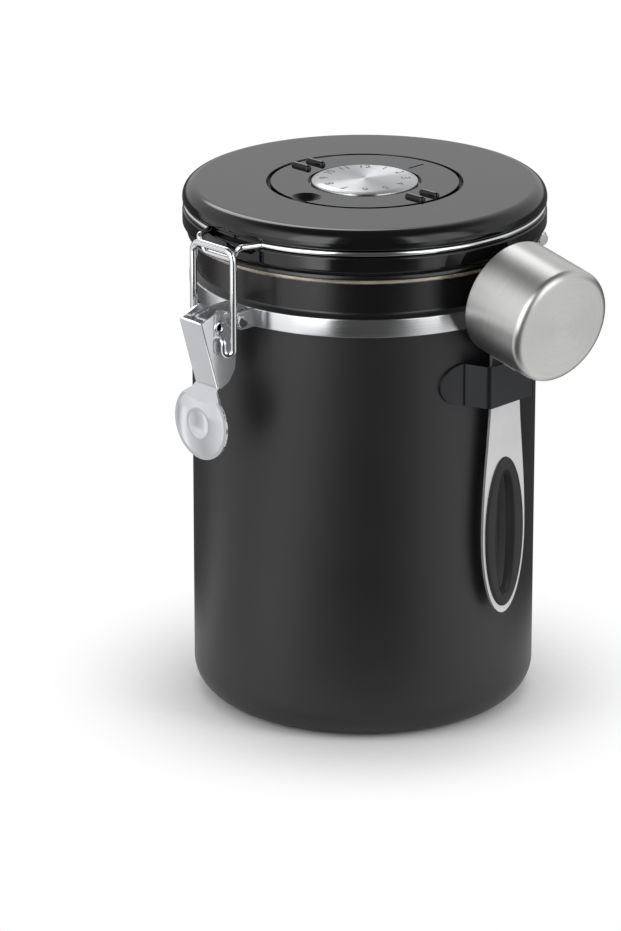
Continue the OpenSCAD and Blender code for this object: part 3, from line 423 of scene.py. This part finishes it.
bead_z = RIM_Z - 2 * MM
foot_in = FOOT_R - 2 * MM
band_mid = (BAND_LOW + BAND_TOP) / 2
turned("steel_wall", [(0, FOOT_H), (foot_in, FOOT_H), (FOOT_R, 0)]
       + arc(BODY_R - BASE_ROUND, BASE_ROUND, BASE_ROUND, -90, 0, 16) + [(BODY_R, band_mid), (BODY_R - WALL, band_mid)]
       + arc(BODY_R - BASE_ROUND, BASE_ROUND, BASE_ROUND - WALL, 0, -90, 16)
       + [(FOOT_R, WALL), (foot_in, FOOT_H + WALL), (0, FOOT_H + WALL)], coat, "canister_body")
turned("steel_neck", [(BODY_R, band_mid)] + shoulder(0) + [(NECK_R, bead_z), (NECK_R - WALL, bead_z)]
       + shoulder(WALL)[::-1] + [(BODY_R - WALL, band_mid)], neck_coat, "canister_body")
turned("rolled_rim", arc(NECK_R + 1.4 * MM, bead_z, 2 * MM, 0, 345, 23), neck_coat, "canister_body")
# A pale strip under the rolled rim: a painted highlight for the bead's glint.
turned("rim_highlight_line", arc(NECK_R + 1.4 * MM, bead_z, 2.06 * MM, -80, -8, 8)
       + arc(NECK_R + 1.4 * MM, bead_z, 1.9 * MM, -8, -80, 8), painted_rim_highlight, "canister_body")

# %% Band
BAND_ROUND = 0.3 * MM
BAND_CROWN = 0.12 * MM
face_r = BAND_R - BAND_ROUND - BAND_CROWN
BAND_LEAN = 0.22 * MM
band_face = [(BAND_R - BAND_CROWN * (2 * i / 8 - 1) ** 2 - BAND_LEAN * (1 - i / 8),
              BAND_LOW + (BAND_TOP - BAND_LOW) * i / 8) for i in range(1, 8)]
turned("clamp_band", [(BODY_R, BAND_LOW), (face_r - BAND_LEAN, BAND_LOW)]
       + arc(face_r - BAND_LEAN, BAND_LOW + BAND_ROUND, BAND_ROUND, -90, 0, 5) + band_face
       + arc(face_r, BAND_TOP - BAND_ROUND, BAND_ROUND, 0, 90, 5) + [(BODY_R, BAND_TOP)],
       band_steel, "neck_band")

# %% Lid
LID_ROUND = 4.8 * MM
UNDER_ROUND = 1.2 * MM
LOW_ROUND = 1.1 * MM
RECESS_R = 33.4 * MM
RECESS_DOWN = 3.4 * MM
RECESS_ROUND = 0.35 * MM
LID_T = 2.6 * MM
HUB_R = DIAL_R - 1.3 * MM
groove_floor = WIRE_AT - WIRE_R - 0.1 * MM
groove_top, groove_low = WIRE_Z + 1.1 * MM, WIRE_Z - 1.1 * MM
seal_low, seal_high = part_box("lid_gasket")
seal_out, seal_in = seal_high.x, seal_high.x - 3.4 * MM
recess_z = LID_TOP - RECESS_DOWN - 0.04 * MM
lip_in = seal_in - 1.7 * MM
under = LID_TOP - LID_T
turned("lid_shell", [(0, recess_z - LID_T), (RECESS_R + LID_T, recess_z - LID_T), (RECESS_R + LID_T + 3 * MM, under),
                     (lip_in - 1.5 * MM, under), (lip_in, under - 1.5 * MM), (lip_in, LID_LOW), (seal_in, LID_LOW),
                     (seal_in, seal_high.z), (seal_out, seal_high.z), (seal_out, LID_LOW)]
       + arc(LID_R - LOW_ROUND, LID_LOW + LOW_ROUND, LOW_ROUND, -90, 0, 8)
       + arc(LID_R - 0.8 * MM, groove_low - 0.8 * MM, 0.8 * MM, 0, 90, 8)
       + [(groove_floor, groove_low), (groove_floor, groove_top)]
       + arc(LID_R - UNDER_ROUND, groove_top + UNDER_ROUND, UNDER_ROUND, -90, 0, 8)
       + arc(LID_R - LID_ROUND, LID_TOP - LID_ROUND, LID_ROUND, 0, 90, 24)
       + arc(RECESS_R + RECESS_ROUND, LID_TOP - RECESS_ROUND, RECESS_ROUND, 90, 180, 5)
       + [(RECESS_R, recess_z), (HUB_R, recess_z), (HUB_R, DIAL_LOW), (0, DIAL_LOW)],
       gloss, "lid_cover", steps=256, sharp=40)

# %% Dial and cup
DIAL_FLAT_R = 15.6 * MM
DIAL_FALL = 0.5 * MM
DIAL_LIP = 0.7 * MM
lip_r = DIAL_R - DIAL_LIP
fall = [(lip_r - (lip_r - DIAL_FLAT_R) * i / 6, DIAL_TOP - DIAL_FALL * (1 - i / 6) ** 2) for i in range(1, 7)]
turned("dial_face", [(0, DIAL_LOW), (DIAL_R, DIAL_LOW)]
       + arc(lip_r, DIAL_TOP - DIAL_FALL - DIAL_LIP, DIAL_LIP, 0, 72, 8) + fall + [(0, DIAL_TOP)],
       spun_dial, "dial_plate", sharp=50)
RIM_ROLL = 0.35 * MM
turned("scoop_bowl", [(CUP_R - CUP_T, 0.3 * MM)] + arc(CUP_R - CUP_T / 2, CUP_T / 2, CUP_T / 2, 180, 360, 8)
       + arc(CUP_R - CUP_ROUND, CUP_L - CUP_ROUND, CUP_ROUND, 0, 90, 14) + [(0, CUP_L), (0, CUP_L - CUP_T)]
       + arc(CUP_R - CUP_ROUND, CUP_L - CUP_ROUND, CUP_ROUND - CUP_T, 90, 0, 14), brushed, "scoop_cup", at=AT_CUP)

# %% [markdown]
# ## Bent wires
#
# Each wire is one length of round steel wire, bent round pins. It is swept by
# a node tree from a chain of points: the chain becomes a curve, each corner
# is rounded with its own bend radius, and a circle is swept along it.

# %% Wire tree
def wire_tree():
    tree = bpy.data.node_groups.new("bent_wire", "GeometryNodeTree")
    face = tree.interface
    face.new_socket("Geometry", in_out="INPUT", socket_type="NodeSocketGeometry")
    face.new_socket("Wire Radius", in_out="INPUT", socket_type="NodeSocketFloat")
    face.new_socket("Finish", in_out="INPUT", socket_type="NodeSocketMaterial")
    face.new_socket("Geometry", in_out="OUTPUT", socket_type="NodeSocketGeometry")
    given = add(tree, "NodeGroupInput")
    chain = add(tree, "GeometryNodeMeshToCurve", {"Mesh": given.outputs["Geometry"]})
    bends = add(tree, "GeometryNodeInputNamedAttribute", {"Name": "bend_radius"}, data_type="FLOAT")
    path = add(tree, "GeometryNodeFilletCurve", {"Curve": chain.outputs[0], "Radius": bends.outputs["Attribute"],
                                                 "Count": 12}, mode="POLY")
    round_section = add(tree, "GeometryNodeCurvePrimitiveCircle", {"Resolution": 24,
                                                                   "Radius": given.outputs["Wire Radius"]})
    swept = add(tree, "GeometryNodeCurveToMesh", {"Curve": path.outputs[0], "Profile Curve": round_section.outputs[0],
                                                  "Fill Caps": True})
    real = add(tree, "GeometryNodeRealizeInstances", {"Geometry": swept.outputs[0]})
    dressed = add(tree, "GeometryNodeSetMaterial", {"Geometry": real.outputs[0], "Material": given.outputs["Finish"]})
    add(tree, "NodeGroupOutput", {"Geometry": dressed.outputs[0]})
    return tree


WIRE_TREE = wire_tree()


def bent_wire(name, chain, radius, material, node):
    """A wire through a chain of (point, bend radius)."""
    line = bpy.data.meshes.new(name)
    line.from_pydata([point for point, bend in chain], [(i, i + 1) for i in range(len(chain) - 1)], [])
    radii = line.attributes.new("bend_radius", "FLOAT", "POINT")
    for i, (point, bend) in enumerate(chain):
        radii.data[i].value = bend
    guide = bpy.data.objects.new(name, line)
    scene.collection.objects.link(guide)
    sweep = guide.modifiers.new("sweep", "NODES")
    sweep.node_group = WIRE_TREE
    values = {"Wire Radius": radius, "Finish": material}
    for socket in WIRE_TREE.interface.items_tree:
        if socket.in_out == "INPUT" and socket.name in values:
            sweep[socket.identifier] = values[socket.name]
    mesh = bpy.data.meshes.new_from_object(guide.evaluated_get(bpy.context.evaluated_depsgraph_get()))
    bpy.data.objects.remove(guide)
    return new_piece(name, mesh, material, node, sharp=50)


def mirrored(chain):
    return [(Vector((-point.x, point.y, point.z)), bend) for point, bend in reversed(chain)]


# %% Bail wire
NOSE_GAP = math.radians(12)
REAR_GAP = math.radians(13.2)
LEAVE_L = 3.2 * MM
NOSE_X = 6.6 * MM
NOSE_SLOPE = 3.4 * MM
NOSE_DROP = 4.8 * MM
ARM_RUN = 8.6 * MM
EYE_R = 2.9 * MM
EYE_L = 3.0 * MM
EYE_X = 14.2 * MM
link_y = PIVOT_Y - 2.6 * MM
nose_y = link_y - LINK_WIRE_R - 0.35 * MM - WIRE_R
take = math.asin(LEAVE_L / WIRE_AT)
front, rear = NOSE_GAP + take, REAR_GAP + take
front_p = Vector((WIRE_AT * math.sin(front), -WIRE_AT * math.cos(front), WIRE_Z))
rear_p = Vector((WIRE_AT * math.sin(rear), WIRE_AT * math.cos(rear), WIRE_Z))
front_out = front_p - LEAVE_L * Vector((math.cos(front), math.sin(front), 0))
rear_out = rear_p + LEAVE_L * Vector((-math.cos(rear), math.sin(rear), 0))
GROOVE_STEPS = 80
groove = [(Vector((WIRE_AT * math.sin(t), -WIRE_AT * math.cos(t), WIRE_Z)), 0.0)
          for t in [front + (math.pi - front - rear) * i / GROOVE_STEPS for i in range(GROOVE_STEPS + 1)]]
half_bail = ([(Vector((NOSE_X, -nose_y, WIRE_Z - NOSE_DROP)), 1.8 * MM),
              (Vector((NOSE_X + NOSE_SLOPE, -nose_y, WIRE_Z)), 1.6 * MM), (front_out, 1.6 * MM)] + groove
             + [(rear_out, 1.6 * MM), (Vector((EYE_X, rear_p.y + ARM_RUN, WIRE_Z)), 3.2 * MM),
                (Vector((EYE_X, HINGE_Y, HINGE_Z + EYE_R - WIRE_R)), 0.0)])
bent_wire("bail_wire", mirrored(half_bail) + half_bail, WIRE_R, bright, "bail_ring")
PIN_R = 1.25 * MM
coil = EYE_L / 4
for side, side_name in ((1, "right"), (-1, "left")):
    across = Matrix.Translation((side * EYE_X, HINGE_Y, HINGE_Z)) @ Matrix.Rotation(math.pi / 2, 4, "Y")
    turned(f"wire_eye_{side_name}", [(PIN_R, -EYE_L / 2), (PIN_R, EYE_L / 2)]
           + arc(EYE_R - coil, coil, coil, 90, -90, 8) + arc(EYE_R - coil, -coil, coil, 90, -90, 8),
           bright, "bail_ring", at=across, steps=48, sharp=50)

# %% Link wire
LINK_X = 9.75 * MM
HAIRPIN_X = 5.6 * MM + 0.6 * MM + LINK_WIRE_R
link_z = WIRE_Z - 1.2 * MM
end_y, end_z = PIVOT_Y - 0.2 * MM, PIVOT_Z - 4.3 * MM
hairpin = math.hypot(LINK_X - HAIRPIN_X, end_y - link_y)
link_low = end_z - 3.2 * MM - hairpin / 2
half_link = [(Vector((LINK_X, -link_y, link_z)), 3.4 * MM), (Vector((LINK_X, -link_y, link_low)), hairpin / 2),
             (Vector((HAIRPIN_X, -end_y, link_low)), hairpin / 2),
             (Vector((HAIRPIN_X, -end_y, end_z)), 1.2 * MM), (Vector((4.95 * MM, -end_y, end_z)), 0.0)]
bent_wire("link_wire", mirrored(half_link) + half_link, LINK_WIRE_R, bright, "latch_link")

# %% Hollow rivet
RIVET_BORE = 0.95 * MM
RIVET_R = 1.6 * MM
rivet_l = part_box("pivot_rivet")[1].x
lip = 0.62 * MM
lip_out = 2.2 * MM - lip
turned("lever_rivet", [(RIVET_BORE, -rivet_l + lip), (RIVET_BORE, rivet_l - lip)]
       + arc(lip_out, rivet_l - lip, lip, 178, 0, 8) + [(RIVET_R, rivet_l - lip - 0.05 * MM),
                                                         (RIVET_R, -rivet_l + lip + 0.05 * MM)]
       + arc(lip_out, -rivet_l + lip, lip, 0, -178, 8), bright, "pivot_rivet",
       at=Matrix.Translation((0, -PIVOT_Y, PIVOT_Z)) @ Matrix.Rotation(math.pi / 2, 4, "Y"), steps=48)

# %% [markdown]
# ## Sheet, moulded and small pieces
#
# These keep their solids. The solids arrive as loose triangles, which shade
# as flat facets, so the points are merged and flat faces are joined again. A
# narrow bevel gives cut sheet its bright edge and moulded plastic its softness.
# The lever's sides are folded out of its front, so those two folds get a real
# bend radius, which mirrors the studio as one bright and one dark line.

# %% Skins
FOLD_R = 1.0 * MM
FLAT_AREA = 12 * MM * MM
LEVER_SIDE = 5.6 * MM


def folds(shape):
    """The lever's outer edges between its front and its two sides."""
    found = []
    for edge in shape.edges:
        on_side = all(abs(abs(point.co.x) - LEVER_SIDE) < 0.02 * MM for point in edge.verts)
        if on_side and edge.calc_length() > 5 * MM and len(edge.link_faces) == 2:
            first, second = [face.normal for face in edge.link_faces]
            if min(first.y, second.y) < -0.8 and max(abs(first.x), abs(second.x)) > 0.9:
                found.append(edge)
    return found


def skin(node, piece_name, material, edge=0.0, sharp=32):
    shape = bmesh.new()
    shape.from_mesh(nodes[node].data)
    bmesh.ops.remove_doubles(shape, verts=shape.verts, dist=0.002 * MM)
    bmesh.ops.dissolve_limit(shape, angle_limit=math.radians(0.4), verts=shape.verts, edges=shape.edges)
    if node == "latch_lever":
        bent = folds(shape)
        print("lever folds:", len(bent), "edges, longest", round(max(e.calc_length() for e in bent) / MM, 1), "mm")
        bmesh.ops.bevel(shape, geom=bent, offset=FOLD_R, segments=6, profile=0.5, affect="EDGES", clamp_overlap=True)
    if edge:
        rim = [e for e in shape.edges if len(e.link_faces) == 2 and e.calc_face_angle() > math.radians(40)]
        bmesh.ops.bevel(shape, geom=rim, offset=edge, segments=2, profile=0.5, affect="EDGES",
                        clamp_overlap=True)
    mesh = bpy.data.meshes.new(piece_name)
    shape.to_mesh(mesh)
    shape.free()
    return new_piece(piece_name, mesh, material, node, sharp, FLAT_AREA if node == "latch_lever" else None)


SKINS = [
    ("latch_bracket", "latch_ears", lever_steel, 0.06), ("clamp_bolt", "band_bolt", bright, 0.2),
    ("clamp_nut", "band_nut", bright, 0.1), ("hinge_bracket", "hinge_ears", lever_steel, 0.1),
    ("hinge_pin", "hinge_rod", bright, 0.1), ("scoop_clip", "side_clip", enamel, 0.45),
    ("lid_gasket", "lid_seal", seal, 0.2), ("lid_liner", "lid_plate", matt, 0.0),
    ("valve_seat", "valve_cage", matt, 0.0), ("valve_flap", "valve_disc", seal, 0.0),
    ("date_ring", "turning_ring", ring_gloss, 0.12), ("latch_lever", "lever_sheet", lever_steel, 0.06),
    ("scoop_handle", "scoop_strip", sheet, 0.1),
]
for node, piece_name, material, edge in SKINS:
    skin(node, piece_name, material, edge * MM)

# %% [markdown]
# ## Rubber grip
#
# The grip is moulded rubber that plugs an oval window of the strip. Its face
# swells out to a soft crest and then falls into a long slot. It is lofted
# through ovals, each with half a width, half a length and a height over the
# steel.

# %% Grip
grip_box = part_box("scoop_grip")
grip_mid = (grip_box[0].z + grip_box[1].z) / 2
steel_face = handle_mid + HANDLE_T / 2
GRIP_ROWS = [(7.2, 25.6, -1.2), (7.2, 25.6, 0), (8.4, 26.8, 0), (8.36, 26.76, 0.25), (8.15, 26.55, 0.55),
             (7.7, 26.1, 0.8), (6.9, 25.3, 0.95), (5.9, 24.4, 1.0), (4.9, 23.4, 0.94), (4.3, 22.8, 0.78),
             (3.9, 22.4, 0.5), (3.4, 21.9, -0.1), (2.5, 21.0, -0.7), (1.9, 20.4, -1.2)]
GRIP_STEPS = 128
shape = bmesh.new()
ovals = []
for half_width, half_length, rise in GRIP_ROWS:
    ring = []
    for i in range(GRIP_STEPS):
        turn = 2 * math.pi * i / GRIP_STEPS
        point = Vector((half_width * MM * math.sin(turn), -steel_face - rise * MM,
                        grip_mid + half_length * MM * math.cos(turn)))
        ring.append(shape.verts.new(HUNG @ point))
    ovals.append(ring)
for here, there in zip(ovals, ovals[1:] + ovals[:1]):
    for i in range(GRIP_STEPS):
        j = (i + 1) % GRIP_STEPS
        shape.faces.new((here[i], here[j], there[j], there[i]))
new_piece("scoop_rubber", mesh_of(shape, "scoop_rubber"), rubber, "scoop_grip", sharp=50)

# %% Band lug
LUG_OUT = 7.6 * MM
lug_low, lug_x = BAND_LOW, 7.4 * MM
lug_r = (BAND_TOP - BAND_LOW) / 2
outline = [(BODY_R, BAND_LOW)] + arc(BAND_R + LUG_OUT - lug_r, band_mid, lug_r, -90, 90, 16) + [(BODY_R, BAND_TOP)]
shape = bmesh.new()
plate = shape.faces.new([shape.verts.new((lug_x, -out, height)) for out, height in outline])
grown = bmesh.ops.extrude_face_region(shape, geom=[plate])
far_side = [v for v in grown["geom"] if isinstance(v, bmesh.types.BMVert)]
bmesh.ops.translate(shape, vec=(WALL, 0, 0), verts=far_side)
new_piece("band_lug", mesh_of(shape, "band_lug"), lever_steel, "neck_band")

# %% [markdown]
# ## Printed numbers
#
# The dial carries the twelve months as plain numbers, each with its top
# towards the edge. Each is a flat text made into a mesh a few hundredths of a
# millimetre thick, like a pad print.

# %% Dial numbers
NUMBER_R = 13.7 * MM
NUMBER_H = 3.3 * MM
INK_T = 0.02 * MM


def number(value):
    text = bpy.data.curves.new(f"number_{value}", "FONT")
    text.body = str(value)
    text.align_x = "CENTER"
    text.align_y = "CENTER"
    text.size = NUMBER_H / 0.72
    text.extrude = INK_T / 2
    flat = bpy.data.objects.new("flat_text", text)
    scene.collection.objects.link(flat)
    mesh = bpy.data.meshes.new_from_object(flat.evaluated_get(bpy.context.evaluated_depsgraph_get()))
    bpy.data.objects.remove(flat)
    turn = VIEW_TURN - math.radians(30 * value)
    mesh.transform(Matrix.Translation((0, 0, DIAL_TOP + INK_T / 2)) @ Matrix.Rotation(turn, 4, "Z")
                   @ Matrix.Translation((0, NUMBER_R, 0)))
    mesh.materials.clear()
    mesh.materials.append(ink)
    piece = bpy.data.objects.new(f"month_{value}", mesh)
    scene.collection.objects.link(piece)
    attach(piece, "lid")


for value in range(1, 13):
    number(value)
print("numbers: 12, at", NUMBER_R / MM, "mm from the axis")

# %% [markdown]
# ## Studio
#
# The canister stands on a white sheet that melts into a white room. Soft
# boxes stand left and right, and the camera stands in the dark. The lamps
# give the even light. What polished surfaces mirror is painted in the room
# and on the sheet by direction: bright where a soft box or its glow on the
# table lies, dark towards the camera, and white behind.

# %% Lamps
def soft_box(name, degrees, distance, height, width, tall, radiance, aim_height=0.1):
    light = bpy.data.lights.new(name, "AREA")
    light.shape = "RECTANGLE"
    light.size = width
    light.size_y = tall
    light.energy = radiance * math.pi * width * tall
    lamp = bpy.data.objects.new(name, light)
    lamp.location = round_the_canister(degrees, distance, height)
    lamp.rotation_euler = (Vector((0, 0, aim_height)) - lamp.location).to_track_quat("-Z", "Y").to_euler()
    lamp.visible_glossy = False
    scene.collection.objects.link(lamp)


soft_box("left_box", -68, 0.95, 0.45, 0.40, 0.8, 2.6)
soft_box("right_box", 63, 0.95, 0.45, 0.40, 0.8, 3.6)
soft_box("top_box", 180, 0.35, 1.0, 0.9, 0.6, 1.8)

# %% What mirrors see
TOP_LEVEL = 6.0
FLOOR_GLOW = [(-180, 0.1), (-120, 0.1), (-111, 0.4), (-104, 1.4), (-96, 0.8), (-80, 0.5), (-68, 0.8), (-54, 1.2),
              (-44, 1.1), (-33, 0.4), (-24, 0.1), (-12, 0.06), (12, 0.08), (26, 0.22), (40, 0.7), (60, 1.05),
              (80, 0.95), (93, 0.5), (106, 0.1), (180, 0.1)]
LOW_GLOW = [(-180, 0.1), (-128, 0.1), (-120, 0.9), (-105, 1.0), (-90, 1.05), (-72, 0.9), (-60, 1.4), (-50, 1.4),
            (-42, 2.0), (-35, 3.2), (-27, 3.2), (-21, 0.2), (-14, 0.08), (24, 0.08), (32, 0.3), (38, 1.3),
            (46, 1.5), (54, 0.9), (64, 0.8), (80, 1.0), (95, 0.6), (112, 0.15), (180, 0.1)]
HIGH_GLOW = [(-180, 0.83), (-150, 0.83), (-128, 0.8), (-110, 0.9), (-88, 0.95), (-76, 1.3), (-62, 2.0),
             (-50, 2.2), (-44, 4.0), (-24, 4.0), (-18, 0.3), (-8, 0.08), (18, 0.08), (25, 0.4), (31, 2.8),
             (44, 2.0), (56, 2.4), (65, 2.0), (73, 0.5), (84, 0.9), (110, 0.8), (150, 0.83), (180, 0.83)]
CEILING_LEVEL = 0.12
BACK_TURN, BACK_RISE = -168, math.radians(39)
BACK_LIGHT = round_the_canister(BACK_TURN, math.cos(BACK_RISE), math.sin(BACK_RISE))
BACK_LIGHT_LEVEL = 4.0


def glow_round(tree, way, stops):
    """A brightness by direction round the canister, from stops of (degrees right of the camera, level)."""
    right = add(tree, "ShaderNodeVectorMath", {0: way, 1: RIGHT}, operation="DOT_PRODUCT").outputs["Value"]
    near = add(tree, "ShaderNodeVectorMath", {0: way, 1: -AWAY}, operation="DOT_PRODUCT").outputs["Value"]
    turn = add(tree, "ShaderNodeMath", {0: right, 1: near}, operation="ARCTAN2").outputs[0]
    share = add(tree, "ShaderNodeMath", {0: turn, 1: 0.5 / math.pi, 2: 0.5}, operation="MULTIPLY_ADD").outputs[0]
    ramp = add(tree, "ShaderNodeValToRGB", {"Fac": share})
    marks = ramp.color_ramp.elements
    while len(marks) < len(stops):
        marks.new(0.5)
    for mark, (degrees, level) in zip(marks, stops):
        mark.position = degrees / 360 + 0.5
        mark.color = (level / TOP_LEVEL,) * 3 + (1,)
    return add(tree, "ShaderNodeMath", {0: ramp.outputs[0], 1: TOP_LEVEL}, operation="MULTIPLY").outputs[0]


def blend_values(tree, share, first, second):
    node = add(tree, "ShaderNodeMix", {0: share}, data_type="FLOAT")
    for place, value in ((2, first), (3, second)):
        if isinstance(value, bpy.types.NodeSocket):
            tree.links.new(value, node.inputs[place])
        else:
            node.inputs[place].default_value = value
    return node.outputs[0]


def smooth_step(tree, value, start, end):
    return add(tree, "ShaderNodeMapRange", {"Value": value, "From Min": start, "From Max": end},
               interpolation_type="SMOOTHSTEP").outputs[0]


# %% Floor
FLOOR_R = 0.58
WHITE_FROM, WHITE_TO = 0.058, 0.115
GLOW_FROM, GLOW_TO = 0.085, 0.14


def white_sheet():
    material, tree, shader = new_finish("white_paper_sheet")
    place = add(tree, "ShaderNodeTexCoord").outputs["Object"]
    tree.links.new(mottle(tree, place, 300, 0.86, 0.88), shader.inputs["Base Color"])
    shader.inputs["Roughness"].default_value = 0.9
    shader.inputs["Specular IOR Level"].default_value = 0.0
    ray = add(tree, "ShaderNodeLightPath")
    far = add(tree, "ShaderNodeVectorMath", {0: place}, operation="LENGTH").outputs["Value"]
    mirror = add(tree, "ShaderNodeMath", {0: ray.outputs["Is Glossy Ray"], 1: ray.outputs["Is Transmission Ray"]},
                 operation="MAXIMUM").outputs[0]
    seen = add(tree, "ShaderNodeMath", {0: smooth_step(tree, far, WHITE_FROM, WHITE_TO),
                                        1: ray.outputs["Is Camera Ray"]}, operation="MULTIPLY").outputs[0]
    caught = add(tree, "ShaderNodeMath", {0: smooth_step(tree, far, GLOW_FROM, GLOW_TO), 1: mirror},
                 operation="MULTIPLY").outputs[0]
    share = add(tree, "ShaderNodeMath", {0: seen, 1: caught}, operation="MAXIMUM").outputs[0]
    level = blend_values(tree, mirror, 1.0, glow_round(tree, place, FLOOR_GLOW))
    glow = add(tree, "ShaderNodeEmission", {"Strength": level})
    both = add(tree, "ShaderNodeMixShader", {0: share, 1: shader.outputs[0], 2: glow.outputs[0]})
    tree.links.new(both.outputs[0], tree.nodes["Material Output"].inputs[0])
    return material


floor_shape = bmesh.new()
bmesh.ops.create_circle(floor_shape, cap_ends=True, segments=96, radius=FLOOR_R)
floor_mesh = bpy.data.meshes.new("floor")
floor_shape.to_mesh(floor_mesh)
floor_shape.free()
floor_mesh.materials.append(white_sheet())
floor = bpy.data.objects.new("floor", floor_mesh)
scene.collection.objects.link(floor)

# %% Room
ROOM_LEVEL = 0.7


def studio_room():
    world = bpy.data.worlds.new("studio_room")
    scene.world = world
    world.use_nodes = True
    tree = world.node_tree
    tree.nodes.clear()
    way = add(tree, "ShaderNodeTexCoord").outputs["Generated"]
    up = add(tree, "ShaderNodeSeparateXYZ", {0: way}).outputs[2]
    walls = blend_values(tree, smooth_step(tree, up, -0.05, 0.12), glow_round(tree, way, LOW_GLOW),
                         glow_round(tree, way, HIGH_GLOW))
    room = blend_values(tree, smooth_step(tree, up, 0.60, 0.92), walls, CEILING_LEVEL)
    facing = add(tree, "ShaderNodeVectorMath", {0: way, 1: BACK_LIGHT}, operation="DOT_PRODUCT").outputs["Value"]
    mirrored_room = blend_values(tree, smooth_step(tree, facing, 0.965, 0.99), room, BACK_LIGHT_LEVEL)
    ray = add(tree, "ShaderNodeLightPath")
    mirror = add(tree, "ShaderNodeMath", {0: ray.outputs["Is Glossy Ray"], 1: ray.outputs["Is Transmission Ray"]},
                 operation="MAXIMUM").outputs[0]
    level = blend_values(tree, mirror, ROOM_LEVEL, mirrored_room)
    level = blend_values(tree, ray.outputs["Is Camera Ray"], level, 1.0)
    sky = add(tree, "ShaderNodeBackground", {"Color": (1, 1, 1, 1), "Strength": level})
    add(tree, "ShaderNodeOutputWorld", {"Surface": sky.outputs[0]})


studio_room()

# %% Camera
camera_data = bpy.data.cameras.new("camera")
camera_data.sensor_fit = "VERTICAL"
camera_data.sensor_height = 36.0
camera_data.lens = 193.3
camera_data.clip_end = 50
camera = bpy.data.objects.new("camera", camera_data)
camera.location = (1.17114, -1.13675, 0.65317)
camera.rotation_euler = (math.radians(70.634), 0, VIEW_TURN)
scene.collection.objects.link(camera)
scene.camera = camera
scene.view_settings.view_transform = "Standard"
